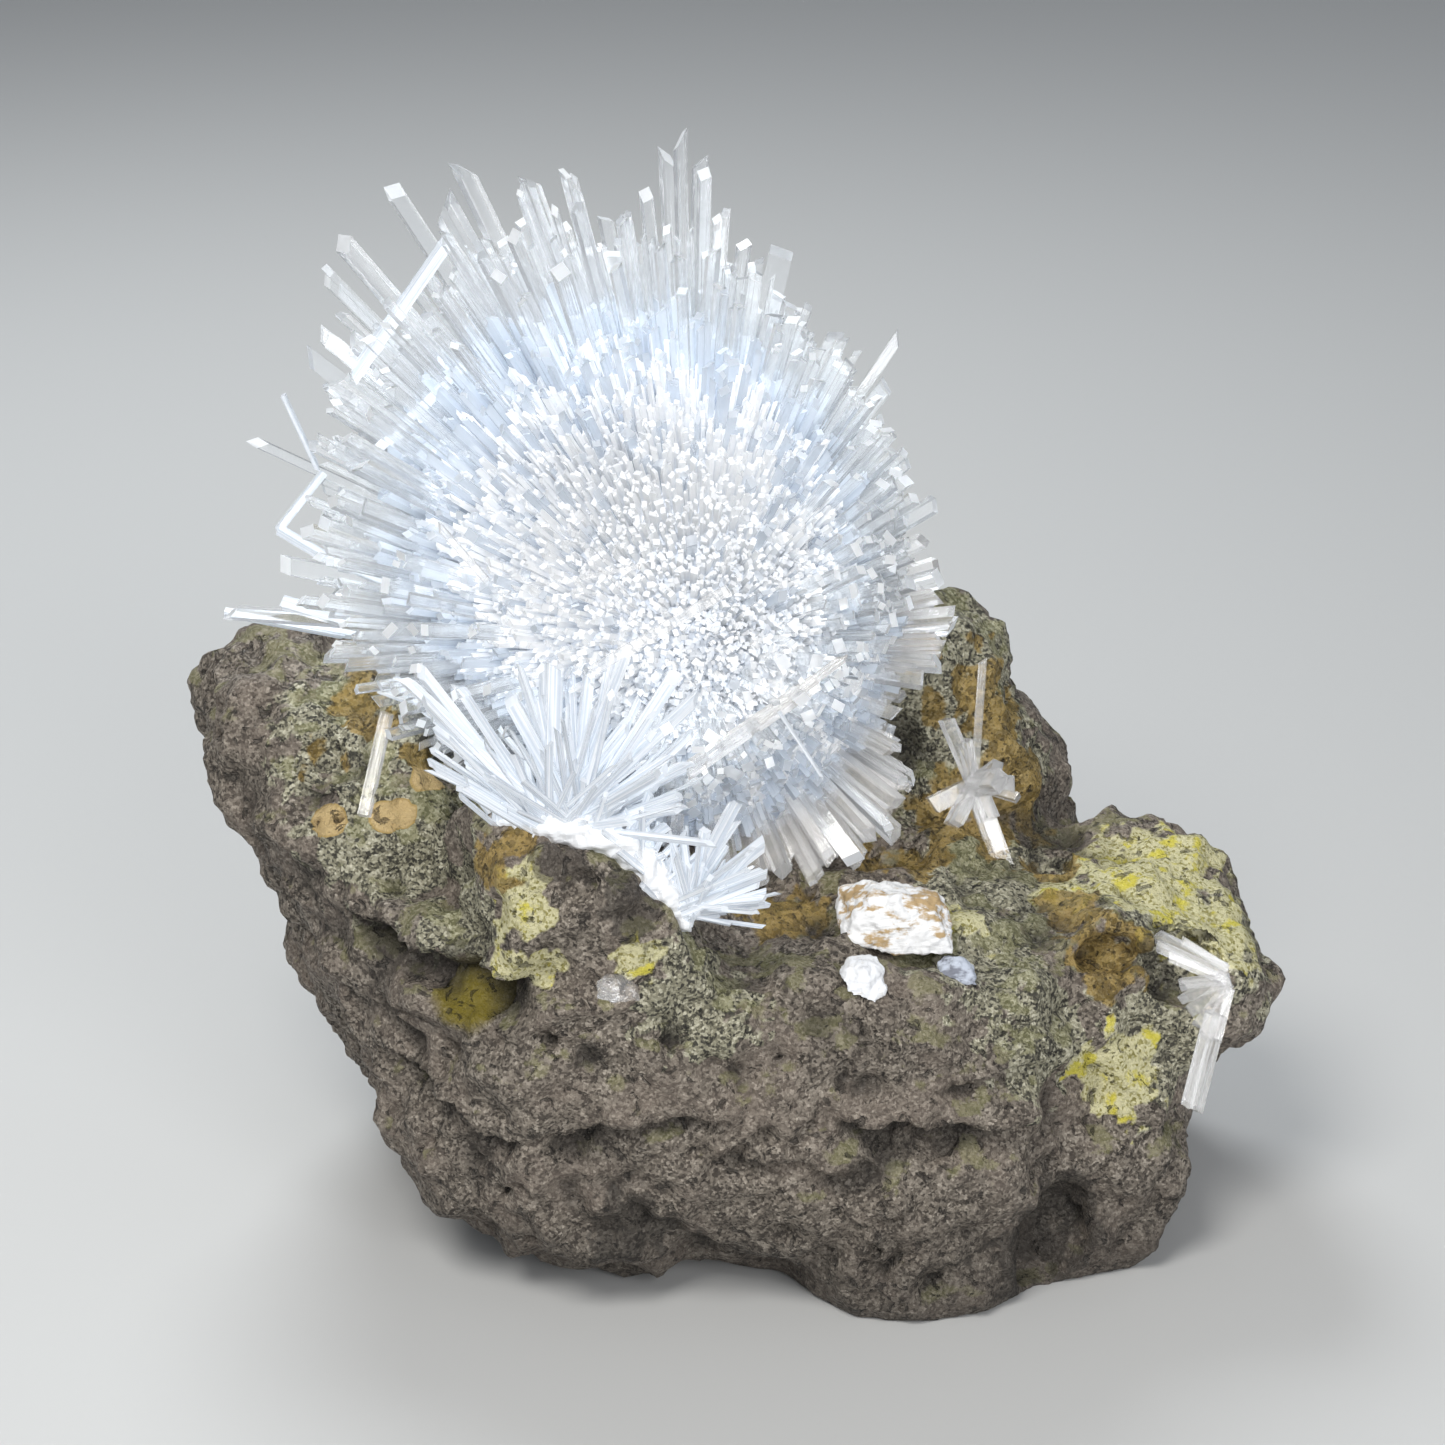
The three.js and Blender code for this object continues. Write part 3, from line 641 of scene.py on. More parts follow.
for name, value in NEEDLE_INPUTS.items():
    socket = grow.interface.new_socket(name, in_out="INPUT", socket_type=SOCKET_KINDS[type(value)])
    socket.default_value = value
    grow_sockets[name] = socket.identifier
for name, kind in THING_INPUTS.items():
    grow_sockets[name] = grow.interface.new_socket(name, in_out="INPUT", socket_type=kind).identifier
grow.interface.new_socket("Geometry", in_out="OUTPUT", socket_type="NodeSocketGeometry")
given = add_node(grow, "NodeGroupInput").outputs


def g_math(operation, a, b=0.0, c=0.0):
    """One sum of one to three values."""
    inputs = {0: a, 1: b} if operation != "MULTIPLY_ADD" else {0: a, 1: b, 2: c}
    if operation in ("SQRT", "SINE", "COSINE"):
        inputs = {0: a}
    return made(grow, "ShaderNodeMath", inputs, operation=operation)


def g_vector(operation, a, b=None):
    """One sum of one or two directions."""
    inputs = {0: a} if b is None else {0: a, ("Scale" if operation == "SCALE" else 1): b}
    return made(grow, "ShaderNodeVectorMath", inputs, operation=operation)


def g_random(seed_shift, low, high):
    """Each needle's chance value between two others. The shift keeps the draws apart."""
    kind = {tuple: "FLOAT_VECTOR", float: "FLOAT", int: "INT"}[type(low)]
    settings = {"Min": low, "Max": high, "Seed": g_math("ADD", given["Seed"], seed_shift)}
    return made(grow, "FunctionNodeRandomValue", settings, data_type=kind)


def g_between(share, low, high):
    """A value between two others, by a share."""
    return g_math("MULTIPLY_ADD", share, g_math("SUBTRACT", high, low), low)


def g_compare(operation, a, b):
    """Whether one value is less or greater than another."""
    inputs = {"A": a, "B": b}
    return made(grow, "FunctionNodeCompare", inputs, data_type="FLOAT", operation=operation)


def g_either(a, b):
    """Whether one of two things is true."""
    return made(grow, "FunctionNodeBooleanMath", {0: a, 1: b}, operation="OR")


index = made(grow, "GeometryNodeInputIndex")
GOLDEN_TURN = math.pi * (3 - math.sqrt(5))
steps = g_math("MULTIPLY_ADD", index, 2.0, 1.0)
height = g_math("SUBTRACT", 1.0, g_math("DIVIDE", steps, given["Needles"]))
ring = g_math("SQRT", g_math("SUBTRACT", 1.0, g_math("MULTIPLY", height, height)))
turn = g_math("MULTIPLY", index, GOLDEN_TURN)
spiral_x = g_math("MULTIPLY", g_math("COSINE", turn), ring)
spiral_y = g_math("MULTIPLY", g_math("SINE", turn), ring)
spiral = made(grow, "ShaderNodeCombineXYZ", {0: spiral_x, 1: spiral_y, 2: height})
EVERY_WAY = ((-1.0, -1.0, -1.0), (1.0, 1.0, 1.0))
spacing = g_math("DIVIDE", 3.5, g_math("SQRT", given["Needles"]))
jitter = g_vector("SCALE", g_random(0, *EVERY_WAY), g_math("MULTIPLY", spacing, given["Scatter"]))
direction = g_vector("NORMALIZE", g_vector("ADD", spiral, jitter))
facing = g_vector("DOT_PRODUCT", direction, g_vector("NORMALIZE", given["Free Side"]))
free_settings = {"Value": facing, "From Min": given["Crowded"]}
freedom = made(grow, "ShaderNodeMapRange", free_settings, clamp=True)
reach = g_between(g_math("MULTIPLY", freedom, freedom), given["Short Reach"], given["Long Reach"])
clump_settings = {"Vector": direction, "W": given["Seed"], "Scale": given["Clumps"]}
clump_noise = made(grow, "ShaderNodeTexNoise", clump_settings, noise_dimensions="4D")
clump = made(grow, "ShaderNodeMapRange", {0: clump_noise, 1: 0.3, 2: 0.7}, clamp=True)
luck_settings = {"Factor": given["Clumping"], "A": g_random(11, 0.0, 1.0), "B": clump}
luck = g_math("POWER", made(grow, "ShaderNodeMix", luck_settings), given["Rarity of Long"])
wished = g_math("MULTIPLY", reach, g_between(luck, given["Shortest"], given["Longest"]))
rock_info = add_node(grow, "GeometryNodeObjectInfo", {"Object": given["Rock"]}, transform_space="RELATIVE")
cast_settings = {
    "Target Geometry": first(rock_info, "Geometry"),
    "Source Position": given["Centre"],
    "Ray Direction": direction,
    "Ray Length": wished,
}
cast = add_node(grow, "GeometryNodeRaycast", cast_settings)
room_settings = {"Switch": first(cast, "Is Hit"), "False": wished, "True": first(cast, "Hit Distance")}
room = made(grow, "GeometryNodeSwitch", room_settings, input_type="FLOAT")
root = g_math("MULTIPLY", reach, given["Root"])
length = g_math("SUBTRACT", room, root)
foot = g_vector("ADD", given["Centre"], g_vector("SCALE", direction, root))
points = add_node(grow, "GeometryNodePoints", {"Count": given["Needles"], "Position": foot})

# Stubs are left out, and so are needles outside the cone, in the bare cone or outside the kept one.
STUB = 1.2 * MM
RAGGED_CONE = 0.16
too_short = g_compare("LESS_THAN", length, STUB)
outside = g_compare("LESS_THAN", facing, given["Cone"])
bare_facing = g_vector("DOT_PRODUCT", direction, g_vector("NORMALIZE", given["Bare Side"]))
baring = g_math("ADD", bare_facing, g_random(61, -RAGGED_CONE, RAGGED_CONE))
bared = g_compare("GREATER_THAN", baring, given["Bare Cone"])
far_off = g_compare("LESS_THAN", baring, given["Kept Cone"])
unwanted = g_either(too_short, g_either(outside, g_either(bared, far_off)))
wanted = made(grow, "FunctionNodeBooleanMath", {0: unwanted}, operation="NOT")
swayed = g_vector("ADD", direction, g_vector("SCALE", g_random(23, *EVERY_WAY), given["Sway"]))
aligned = made(grow, "FunctionNodeAlignRotationToVector", {"Vector": swayed}, axis="Z")
twist_settings = {"Axis": (0.0, 0.0, 1.0), "Angle": g_random(31, 0.0, math.tau)}
twist = made(grow, "FunctionNodeAxisAngleToRotation", twist_settings)
turn_settings = {"Rotation": aligned, "Rotate By": twist}
turned = made(grow, "FunctionNodeRotateRotation", turn_settings, rotation_space="LOCAL")
thickness = g_between(g_random(41, 0.0, 1.0), given["Thinnest"], given["Widest"])
aspect = g_math("MULTIPLY", thickness, g_random(43, 0.65, 1.0))
form_settings = {"Collection": given["Forms"], "Separate Children": True, "Reset Children": True}
forms = add_node(grow, "GeometryNodeCollectionInfo", form_settings)
form = g_random(53, 0, len(NEEDLE_FORMS) - 1)
size = made(grow, "ShaderNodeCombineXYZ", {0: thickness, 1: aspect, 2: length})
placing = {
    "Points": first(points),
    "Selection": wanted,
    "Instance": first(forms),
    "Pick Instance": True,
    "Instance Index": form,
    "Rotation": turned,
    "Scale": size,
}
placed = add_node(grow, "GeometryNodeInstanceOnPoints", placing)
whole = made(grow, "GeometryNodeRealizeInstances", {"Geometry": first(placed)})
body = made(grow, "GeometryNodeSetMaterial", {"Geometry": whole, "Material": given["Crystal"]})
is_tip = made(grow, "GeometryNodeInputNamedAttribute", {"Name": "tip"}, data_type="BOOLEAN")
tip_settings = {"Geometry": body, "Selection": is_tip, "Material": given["Broken Tip"]}
tipped = made(grow, "GeometryNodeSetMaterial", tip_settings)
grown = add_node(grow, "NodeGroupOutput")
grow.links.new(tipped, grown.inputs[0])


def needles(name, sizes):
    """A piece of needles grown by the tree, as one plain mesh."""
    piece = object_from(name, bmesh.new())
    modifier = piece.modifiers.new("needles", "NODES")
    modifier.node_group = grow
    for key, value in {"Forms": needle_shelf, "Rock": matrix, **sizes}.items():
        modifier[grow_sockets[key]] = value
    return settled(piece)


STRAND_STRETCH = (5.0, 0.7, 1.0)
STRAND_DEPTH = 0.2 * MM


def crystal(name, transmission, roughness, colour, passing_colour, striation, streak=None):
    """Crystal of one clarity, striated along its needles, with streaks where a colour is given for them.

    Light that would cast its shadow comes through in the passing colour.
    """
    material, tree, surface = new_material(name)
    surface.inputs["Transmission Weight"].default_value = transmission
    surface.inputs["IOR"].default_value = 1.51
    surface.inputs["Roughness"].default_value = roughness
    surface.inputs["Base Color"].default_value = (*colour, 1)
    strand_place = add_node(tree, "ShaderNodeUVMap", uv_map="strands")
    stretch_settings = {"Vector": first(strand_place), "Scale": STRAND_STRETCH}
    stretched = made(tree, "ShaderNodeMapping", stretch_settings)
    strand_settings = {"Vector": stretched, "Scale": 1.0, "Detail": 2.0}
    strands = made(tree, "ShaderNodeTexNoise", strand_settings)
    bump_settings = {"Strength": striation, "Distance": STRAND_DEPTH, "Height": strands}
    tree.links.new(made(tree, "ShaderNodeBump", bump_settings), surface.inputs["Normal"])
    if streak:
        share = ranged(tree, strands, 0.38, 0.62)
        tree.links.new(mixed(tree, share, (*streak, 1), (*colour, 1)), surface.inputs["Base Color"])
    light_path = add_node(tree, "ShaderNodeLightPath")
    passing = made(tree, "ShaderNodeBsdfTransparent", {"Color": (*passing_colour, 1)})
    both_inputs = {0: first(light_path, "Is Shadow Ray"), 1: surface.outputs[0], 2: passing}
    both = add_node(tree, "ShaderNodeMixShader", both_inputs)
    tree.links.new(first(both), tree.nodes["Material Output"].inputs["Surface"])
    return material


# The tip colours are darker than their needles' sides. This is painted shade that evens out the lamp-lit
# tips against the shaded sides.
milky = crystal("milky scolecite", 0.0, 0.55, (0.94, 0.94, 0.94), (0.84, 0.87, 0.90), 0.2)
milky_tip_shade_painted = crystal("milky tip", 0.0, 0.6, (0.77, 0.78, 0.795), (0.84, 0.87, 0.90), 0.0)
white = crystal("white scolecite", 0.1, 0.3, (0.945, 0.95, 0.955), (0.9, 0.92, 0.95), 0.2)
frosted = crystal("half clear scolecite", 0.5, 0.12, (0.72, 0.765, 0.82), (0.93, 0.95, 0.98), 0.3)
frosted_tip_shade_painted = crystal("half clear tip", 0.5, 0.3, (0.66, 0.69, 0.73), (0.93, 0.95, 0.98), 0.0)
warm = crystal("warm clear scolecite", 0.88, 0.05, (0.955, 0.95, 0.945), (0.95, 0.945, 0.94), 0.25)
clear = crystal("clear scolecite", 0.93, 0.02, (0.97, 0.985, 1.0), (0.96, 0.97, 0.98), 0.15)
broken = crystal("broken tip", 0.5, 0.3, (0.96, 0.98, 1.0), (0.96, 0.97, 0.98), 0.0)
blade_streak = (0.66, 0.71, 0.78)
blade = crystal("bright blade", 0.4, 0.14, (0.96, 0.965, 0.97), (0.93, 0.945, 0.96), 0.7, blade_streak)

BALL = {"Centre": BALL_CENTRE, "Free Side": FREE_SIDE}
BALL_LAYERS = {
    "ball_milky_needles": {
        "Needles": 12500, "Seed": 3, "Root": 0.54, "Shortest": 0.675, "Longest": 0.718,
        "Rarity of Long": 1.2, "Long Reach": 46 * MM, "Short Reach": 28 * MM, "Clumps": 7.0,
        "Clumping": 0.8, "Thinnest": 0.65 * MM, "Widest": 1.15 * MM, "Sway": 0.02,
        "Crystal": milky, "Broken Tip": milky_tip_shade_painted,
    },
    "ball_white_needles": {
        "Needles": 21000, "Seed": 6, "Root": 0.6, "Shortest": 0.69, "Longest": 0.80, "Rarity of Long": 1.4,
        "Long Reach": 49 * MM, "Short Reach": 28 * MM, "Clumps": 9.0, "Clumping": 0.6,
        "Thinnest": 0.4 * MM, "Widest": 0.75 * MM, "Sway": 0.06, "Crystal": white, "Broken Tip": milky_tip_shade_painted,
        "Bare Side": way(110, 76), "Kept Cone": 0.72,
    },
    "ball_half_clear_needles": {
        "Needles": 5200, "Seed": 5, "Root": 0.56, "Shortest": 0.66, "Longest": 0.86, "Rarity of Long": 1.3,
        "Long Reach": 51 * MM, "Short Reach": 27 * MM, "Clumps": 8.0, "Clumping": 0.7,
        "Thinnest": 0.65 * MM, "Widest": 1.25 * MM, "Sway": 0.03, "Crystal": frosted,
        "Broken Tip": frosted_tip_shade_painted, "Bare Side": way(110, 76), "Bare Cone": 0.85,
    },
    "ball_clear_needles": {
        "Needles": 2600, "Seed": 8, "Root": 0.64, "Shortest": 0.79, "Longest": 0.99, "Rarity of Long": 1.5,
        "Thinnest": 0.8 * MM, "Widest": 1.6 * MM, "Sway": 0.04, "Crystal": clear, "Broken Tip": broken,
        "Clumping": 0.6, "Clumps": 10.0, "Cone": -0.2, "Bare Side": way(110, 70), "Bare Cone": 0.72,
    },
}
for name, sizes in BALL_LAYERS.items():
    layer = needles(name, {**BALL, **sizes})
    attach(layer, "root")
    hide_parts("scolecite_spray")

# The milky heart that the needles stand on.
HEART_REACHES = (46 * MM, 28 * MM)
HEART_SHARE = 0.668
bm = bmesh.new()
bmesh.ops.create_icosphere(bm, subdivisions=5, radius=1.0)
for vertex in bm.verts:
    direction = vertex.co.normalized()
    lumpy = 1 + 0.02 * noise.noise(direction * 9)
    vertex.co = BALL_CENTRE + direction * reach_along(direction, *HEART_REACHES) * HEART_SHARE * lumpy
heart = object_from("ball_heart", bm, [milky])
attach(heart, "root")
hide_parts("scolecite_spray")

# The needles that stand out of the ball: angle, lean, reach and width in degrees and millimetres.
LONG_NEEDLES = [
    (176, 2, 47.5, 1.5), (169, 8, 42.5, 1.8), (155, 0, 49.5, 1.3), (143, 3, 49, 1.9),
    (140, 12, 49.5, 1.7), (134.7, 4, 53.5, 1.6), (131, 14, 54.5, 1.9), (123.3, 5, 55.5, 1.7),
    (119.5, 16, 52, 2.6), (115.7, 6, 54, 1.8), (109.7, 12, 50.5, 2.1), (104.6, 10, 50, 1.5),
    (99, 6, 44, 1.6), (95.7, 12, 46.5, 1.3), (92.8, 5, 50, 1.9), (91.2, 14, 52, 1.2),
    (88.7, 6, 49.5, 1.8), (86, 10, 44.5, 1.6), (82.5, 4, 41.5, 1.5), (77, 12, 41.5, 2.4),
    (65, 8, 35, 2.2), (56, 5, 38, 1.2), (53, 10, 33.5, 2), (41, 4, 29.5, 2), (30, 8, 29, 1.9),
    (15, 10, 26.5, 1.9), (4, 5, 27, 1.9), (-4, 8, 25.5, 2), (-32, 12, 27, 1.6), (-43, 16, 29, 1.5),
    (-53, 20, 29, 1.9),
]
# Broad flat-ended needles low on the ball, where the rock left them little room.
FINGERS = [
    (24, 12, 26.5, 1.6), (18, 4, 26.5, 1.7), (11, 16, 26.5, 1.7), (6, 6, 27, 1.9), (0, 14, 26.5, 1.6),
    (-4, 2, 25.5, 1.9), (-9, 18, 25, 1.7), (-14, 8, 22.5, 1.9), (-19, 20, 23.5, 1.7), (-24, 8, 22.5, 2),
    (-28, 24, 25.5, 1.6), (-33, 10, 27, 1.9), (-38, 20, 28, 1.7), (-43, 8, 29, 2.2),
    (-47, 22, 28.5, 1.7), (-52, 10, 28.5, 2), (-57, 24, 28.5, 1.7), (-62, 12, 28, 2),
    (-68, 26, 27.5, 1.9), (-74, 16, 26.5, 1.9), (-82, 28, 26, 1.7), (-95, 30, 25, 1.6),
    (-108, 28, 25.5, 1.6), (-120, 24, 26, 1.7), (-130, 30, 26.5, 1.6), (-138, 18, 27, 1.7),
    (-145, 28, 28, 1.6), (-152, 16, 28, 1.7), (-158, 26, 29, 1.6), (-164, 12, 29.5, 1.7),
    (-170, 22, 30.5, 1.6), (-176, 10, 32, 1.7), (178, 18, 33.5, 1.6), (172, 26, 34, 1.7),
]
CROSSING_NEEDLES = [
    ((-27.2, 10, 103.1), (-37, 7, 89.7), 1.4), ((-25, 4.5, 92.3), (-36.7, 4, 80.9), 1),
    ((-41.1, 13.6, 77.3), (-45.7, 11, 72), 1), ((-45.7, 11, 72), (-40.4, 10, 69), 0.96),
    ((-44.4, 9, 87.1), (-41.3, 10, 78.8), 0.56), ((-51.6, 11, 62.9), (-38, 8, 61.4), 0.96),
    ((-45.2, 8, 65.1), (-31, 2, 63.1), 1.3), ((-40.4, 10, 69), (-30, 0, 68.3), 1.2),
    ((-34.6, 2, 61.9), (-28.2, -6, 63.7), 1.2), ((-34.5, -1, 59), (-29.7, -8, 60.1), 1.1),
    ((-33, -4, 61.2), (-27, -9, 57.6), 0.96), ((5.5, -16.5, 62.8), (9.9, -16.5, 55.7), 0.48),
]
LOOSE_NEEDLES = [
    ((9.2, -13, 64.5), (-3.4, -18.5, 57.4), 1.5),
    ((0.5, -18, 76), (-12.9, -18, 67.5), 1),
    ((-8, -17, 78), (-20.5, -13, 74), 0.64),
    ((-20, -14, 72), (-27.5, -10, 79.5), 0.72),
    ((3.5, -16, 61.5), (12, -12, 66.8), 0.72),
]


NEEDLE_SPIN = 1.7
NEEDLE_FLATNESS = 0.85


def listed_needles(name, rows, looks):
    """A piece of needles that each have a place of their own: foot, tip and width in metres."""
    bm = bmesh.new()
    shelf = list(needle_shelf.objects)
    for number, (foot, end, width) in enumerate(rows):
        along = end - foot
        turn = along.to_track_quat("Z", "Y").to_matrix().to_4x4()
        spin = Matrix.Rotation(NEEDLE_SPIN * number, 4, "Z")
        size = Matrix.Diagonal((width, width * NEEDLE_FLATNESS, along.length, 1))
        put = Matrix.Translation(foot) @ turn @ spin @ size
        before = len(bm.verts)
        bm.from_mesh(shelf[number % len(shelf)].data)
        bm.verts.ensure_lookup_table()
        bmesh.ops.transform(bm, matrix=put, verts=bm.verts[before:])
    tip_mark = bm.faces.layers.bool["tip"]
    for face in bm.faces:
        face.material_index = 1 if face[tip_mark] else 0
    return object_from(name, bm, looks)


def radial_rows(listed, root):
    """Rows of needles that stand out of the ball: each from a share of its reach to its tip."""
    rows = []
    for angle, lean, reach_mm, width in listed:
        direction = way(angle, lean)
        tip = BALL_CENTRE + direction * reach_mm * MM
        rows.append((BALL_CENTRE.lerp(tip, root), tip, width * MM))
    return rows


def placed_rows(listed):
    """Rows of needles listed by foot, tip and width in millimetres, in metres."""
    return [(Vector(foot) * MM, Vector(end) * MM, width * MM) for foot, end, width in listed]


# A thinner and shorter needle beside each of the broad ones.
thin_fingers = []
for angle, lean, reach_mm, width in FINGERS:
    thin_fingers.append((angle + 2.6, lean - 9, reach_mm - 1.8, 0.65 * width))
for name, rows, looks in [
    ("ball_long_needles", radial_rows(LONG_NEEDLES, 0.5), (clear, broken)),
    ("ball_fingers", radial_rows(FINGERS, 0.55) + radial_rows(thin_fingers, 0.55), (warm, warm)),
    ("ball_crossing_needles", placed_rows(CROSSING_NEEDLES), (blade, blade)),
    ("ball_loose_needles", placed_rows(LOOSE_NEEDLES), (warm, warm)),
]:
    piece = listed_needles(name, rows, looks)
    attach(piece, "root")
    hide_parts("scolecite_spray")

# ---- Rim sprays ----
# Two fans of brilliant white blades on the cavity's front rim, joined by a crust of the same crystal that
# follows the rim's crest. They grew towards the open cavity.

# Each fan's foot and its main blades: angle, lean, length and width in degrees and millimetres.
RIM_FAN_FOOT = Vector((-15.6, -20.9, 52.0)) * MM
RIM_FAN_BLADES = [
    (123, 5, 17.5, 0.88), (118, 14, 14.5, 1.4), (112, 2, 12, 0.8), (101, 12, 13, 0.96),
    (93, 0, 15.5, 0.88), (88, 9, 16.5, 2.1), (83, 2, 16.5, 1), (74, 16, 12, 1.1), (65, 4, 14, 0.88),
    (57, 6, 18, 1.6), (51, 16, 13.5, 1.3), (44, 2, 15, 0.96), (33, 18, 12, 1), (20, 12, 10.5, 1.3),
    (8, 22, 9, 0.96), (137, 12, 12.5, 1.1), (148, 20, 9.5, 0.96), (160, 12, 7.5, 0.88), (137, 5, 21, 1),
    (133, 12, 18.5, 0.96), (128, 3, 19, 1.2), (143, 9, 16.5, 0.96), (151, 8, 13, 0.8),
    (108, 8, 17, 0.8), (79, 10, 17.5, 0.8), (69, 8, 18.5, 1.1), (43, 7, 18.5, 1.3), (27, 10, 15, 0.8),
    (10, 14, 13.5, 0.8), (-6, 16, 13.5, 0.72),
]
LOW_FAN_FOOT = Vector((-3.4, -23.2, 44.9)) * MM
LOW_FAN_BLADES = [
    (80, 6, 8.5, 0.96), (62, 8, 11, 1.2), (48, 18, 9, 0.96), (38, 6, 10.5, 1.2), (22, 14, 9.5, 1),
    (6, 20, 8, 0.96), (98, 12, 7, 0.8),
]
# The crest that the crust follows: place and half width in millimetres.
RIM_CREST = [
    ((-22.6, -19.6, 52.2), 0.9), ((-19.6, -20.2, 52.6), 1.5), ((-16.5, -20.9, 52.6), 2.1),
    ((-13.4, -21.4, 52.1), 2.2), ((-10.4, -21.5, 51.2), 2), ((-8.1, -21.8, 49.6), 1.9),
    ((-6.6, -22.5, 47.9), 1.8), ((-5.2, -22.7, 45.7), 1.7), ((-4.2, -22.8, 43.8), 1.2),
    ((-3.4, -22.9, 42.4), 0.7),
]


def chance_blades(count, seed, angles, leans, lengths, widths):
    """Thinner blades between the listed ones: angle, lean, length and width, each from a range."""
    luck = random.Random(seed)
    listed = []
    for number in range(count):
        angle = angles[0] + (angles[1] - angles[0]) * (number + luck.random()) / count
        length = lengths[0] + (lengths[1] - lengths[0]) * luck.random() ** 1.6
        listed.append((angle, luck.uniform(*leans), length, luck.uniform(*widths)))
    return listed


def blade_rows(foot, listed, spread, seed):
    """Rows of blades that fan out from round one foot."""
    luck = random.Random(seed)
    rows = []
    for angle, lean, length, width in listed:
        start = foot + Vector([luck.uniform(-1, 1) * size * MM for size in spread])
        rows.append((start, start + way(angle, lean) * length * MM, width * MM))
    return rows


def crest_at(share):
    """A place and half width on the crest, by share of its points."""
    step = share * (len(RIM_CREST) - 1)
    before = min(int(step), len(RIM_CREST) - 2)
    (start, start_half), (end, end_half) = RIM_CREST[before], RIM_CREST[before + 1]
    half = start_half + (end_half - start_half) * (step - before)
    return Vector(start).lerp(Vector(end), step - before), half


# Small tufts along the crest, and thinner blades in both fans.
TUFTS = 9
TUFT_BLADES = 9
crest_rows = []
for number in range(TUFTS):
    foot, _ = crest_at((number + 0.4) / TUFTS)
    tuft = chance_blades(TUFT_BLADES, 60 + number, (25, 150), (-25, 40), (2.5, 6.5), (0.4, 0.9))
    crest_rows += blade_rows(foot * MM, tuft, (0.8, 0.6, 0.4), 80 + number)
fan_thin = chance_blades(110, 31, (14, 156), (-20, 42), (5, 15.5), (0.3, 0.85))
low_thin = chance_blades(56, 32, (-12, 115), (-20, 40), (3.5, 9), (0.3, 0.7))
fan_back = chance_blades(24, 33, (20, 160), (-55, -10), (6, 13), (0.6, 1.3))
for name, rows in [
    ("rim_fan", blade_rows(RIM_FAN_FOOT, RIM_FAN_BLADES + fan_thin + fan_back, (2.2, 0.9, 0.5), 41)),
    ("low_fan", blade_rows(LOW_FAN_FOOT, LOW_FAN_BLADES + low_thin, (0.9, 0.7, 1.2), 42)),
    ("rim_tufts", crest_rows),
]:
    fan = listed_needles(name, rows, (blade, blade))
    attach(fan, "root")
    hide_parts("scolecite_spray")


def roughened(piece, rise, size, small_rise, small_size):
    """The piece with bumps of two heights and sizes, in millimetres."""
    normals = [Vector(normal.vector) for normal in piece.data.vertex_normals]
    for vertex, normal in zip(piece.data.vertices, normals):
        point = vertex.co / MM
        bumps = rise * noise.noise(point / size) + small_rise * noise.noise(point / small_size)
        vertex.co += normal * MM * bumps
    return piece


# Beads along the crest run together into one knobbly crust.
CRUST_BEADS = 46
CRUST_STEP = 0.3 * MM
CRUST_BUMPS = (0.55, 1.7, 0.35, 0.8)
bm = bmesh.new()
for number in range(CRUST_BEADS):
    middle, half = crest_at(number / (CRUST_BEADS - 1))
    place = Matrix.Translation(middle * MM) @ Matrix.Diagonal((half * MM, half * MM, 0.75 * half * MM, 1))
    bmesh.ops.create_icosphere(bm, subdivisions=2, radius=1.0, matrix=place)
crust = roughened(reskinned(object_from("rim_crust", bm), CRUST_STEP, 3), *CRUST_BUMPS)
crust.data.materials.clear()
# The crust takes the milky tip colour with its painted shade.
crust.data.materials.append(milky_tip_shade_painted)
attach(crust, "root")
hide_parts("scolecite_spray")

# ---- Small clusters and the leaning needle ----
# Stout clear needles: a cross with a long upright one on the back wall, a sheaf in the right lobe's pocket
# and one that leans on the left wall.

# The wall's needles stand on one foot: tip and width in millimetres.
WALL_FOOT = (26.5, 9.6, 44.1)
WALL_TIPS = [
    ((23.5, 11.3, 50.8), 1.5), ((27.3, 13, 56.8), 1.7), ((25.6, 11, 48.5), 1.3), ((22, 8, 42.4), 2),
    ((24.2, 6.6, 40.6), 1.8), ((29.6, 6.5, 36.2), 2.4), ((28.8, 4.6, 46.6), 2.2), ((31, 8, 43.2), 1.7),
    ((28.6, 6.2, 47.4), 1.8), ((29.9, 7, 45.4), 1.9), ((26, 6.4, 45.2), 1.8), ((25, 8.2, 41), 1.3),
    ((28, 7.4, 41), 2),
]
# Foot, tip and width in millimetres.
POCKET_ROWS = [
    ((51.4, -8.6, 31.2), (44.4, -6, 33.9), 1.3), ((51.5, -9, 30.8), (44.6, -7.2, 33.2), 1.2),
    ((51.3, -8.4, 30.4), (45.2, -6.4, 32.6), 1.1), ((51.4, -9.4, 30.2), (45.6, -8.4, 32.6), 1.1),
    ((51.6, -9.2, 31.6), (47, -7.4, 34), 1), ((51.7, -8.6, 30.1), (46.5, -11.5, 30.9), 1.3),
    ((51.6, -9, 29.9), (46.8, -12, 29.6), 1.2), ((51.7, -9, 29.8), (47.4, -12.6, 28.4), 1.3),
    ((51.8, -8.8, 29.5), (48.2, -12.9, 27), 1.4), ((51.8, -9, 29.2), (49.2, -12.8, 25.6), 1.4),
    ((51.9, -9.2, 29.2), (50.4, -12.4, 25), 1.2), ((50.2, -11.6, 27.6), (47.9, -14, 18), 2.1),
]
dull = crystal("dull clear crystal", 0.88, 0.08, (0.95, 0.95, 0.95), (0.93, 0.93, 0.93), 0.25)
LEANING_ROW = ((-36, -9.2, 48.6), (-34, -2.2, 56.9), 1.2)
wall_rows = [(WALL_FOOT, tip, width) for tip, width in WALL_TIPS]
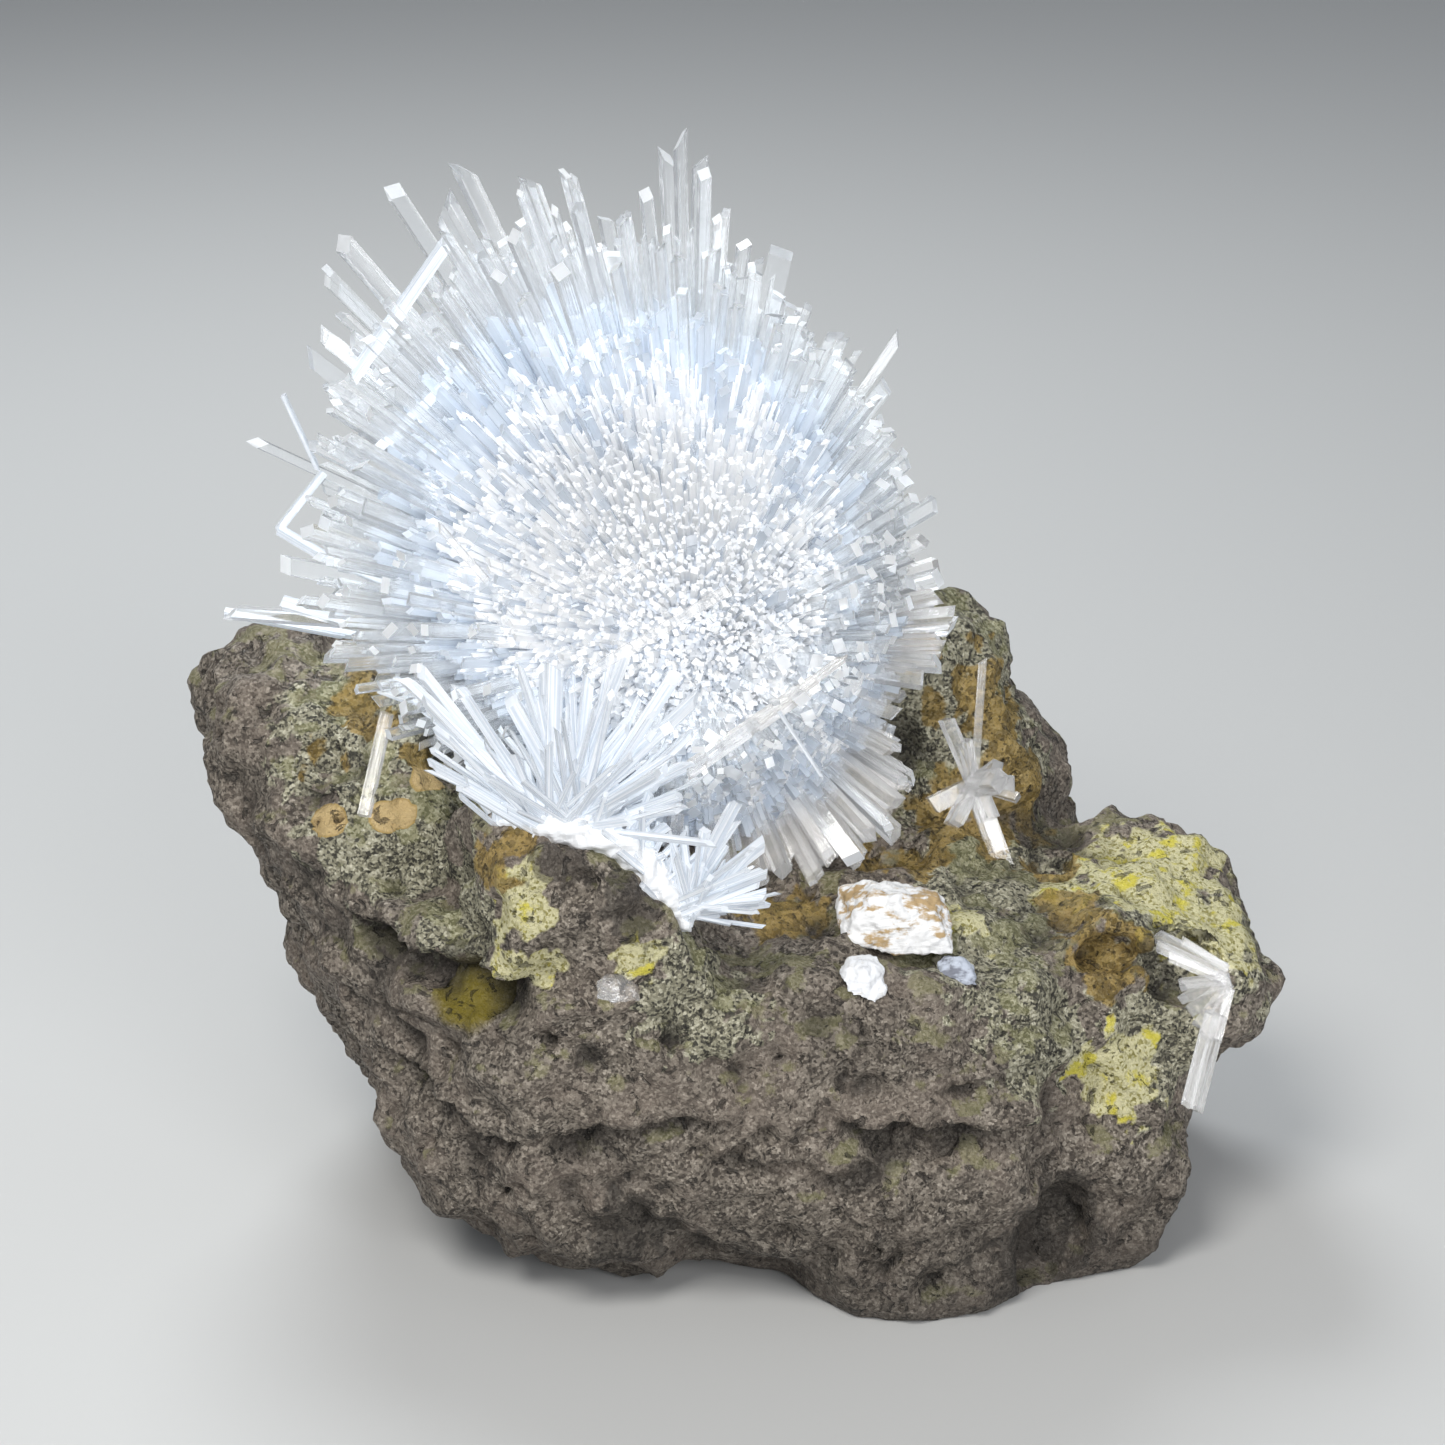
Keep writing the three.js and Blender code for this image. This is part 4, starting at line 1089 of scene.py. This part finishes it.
SMALL_CLUSTERS = {
    "wall_crystals": ("wall_crystal_cluster", dull, wall_rows),
    "pocket_crystals": ("pocket_crystal_cluster", dull, POCKET_ROWS),
    "leaning_crystal": ("leaning_needle", warm, [LEANING_ROW]),
}
for name, (node, look, rows) in SMALL_CLUSTERS.items():
    piece = listed_needles(name, placed_rows(rows), (look, look))
    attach(piece, "root")
    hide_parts(node)

# ---- Grains on the ledge ----
# Chalky white grains of altered crystal with tan streaks on the ledge, and a translucent crystal on
# the rock's front face.


def chalky(name, white, stain, stain_from, hollow_shade):
    """Chalky crystal: fine fibres with painted shade in the hollows between them, stained in blotches."""
    material, tree, surface = new_material(name)
    place = first(add_node(tree, "ShaderNodeTexCoord"), "Object")
    turn_settings = {"Vector": place, "Rotation": (0.0, 0.25, 0.2), "Scale": (0.22, 1.0, 1.0)}
    along = made(tree, "ShaderNodeMapping", turn_settings)
    fibre_settings = {"Vector": along, "Scale": 900.0, "Detail": 5.0, "Roughness": 0.65}
    fibres = made(tree, "ShaderNodeTexNoise", fibre_settings)
    fibre_part = maths(tree, "MULTIPLY", fibres, 0.55)
    stained = maths(tree, "MULTIPLY_ADD", blotches(tree, 260, 4.0), 0.55, fibre_part)
    colour = mixed(tree, ranged(tree, stained, stain_from, stain_from + 0.075), (*white, 1), (*stain, 1))
    # Painted shade: the low places of the fibres' height are darkened.
    colour = mixed(tree, ranged(tree, fibres, 0.28, 0.42, 0.55, 0.0), colour, (*hollow_shade, 1))
    bump = add_node(tree, "ShaderNodeBump", {"Strength": 0.8, "Distance": 0.35 * MM, "Height": fibres})
    tree.links.new(first(bump), surface.inputs["Normal"])
    tree.links.new(colour, surface.inputs["Base Color"])
    surface.inputs["Roughness"].default_value = 0.8
    return material


GRAIN_STEP = 0.22 * MM
GRAIN_BUMPS = (0.3, 1.1, 0.15, 0.5)
chalk = chalky("altered white grain", (0.80, 0.80, 0.80), (0.44, 0.31, 0.16), 0.55, (0.30, 0.29, 0.29))
clean_chalk = chalky("clean white grain", (0.78, 0.79, 0.81), (0.60, 0.57, 0.52), 0.62, (0.34, 0.34, 0.36))
grey_chalk = chalky("grey white grain", (0.50, 0.54, 0.62), (0.20, 0.21, 0.25), 0.55, (0.16, 0.17, 0.21))
for node, name, look, slot_name in [
    ("large_white_grain", "large_white_slab", chalk, "altered_white"),
    ("small_white_grain", "small_white_lump", clean_chalk, "altered_white"),
    ("grey_grain", "grey_lump", grey_chalk, "altered_white"),
    ("face_crystal", "face_glass_crystal", dull, "clear_scolecite"),
]:
    grain = roughened(reskinned(copied(node, name), GRAIN_STEP, 3), *GRAIN_BUMPS)
    grain.data.materials.clear()
    grain.data.materials.append(look)
    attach(grain, "root")
    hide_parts(node)
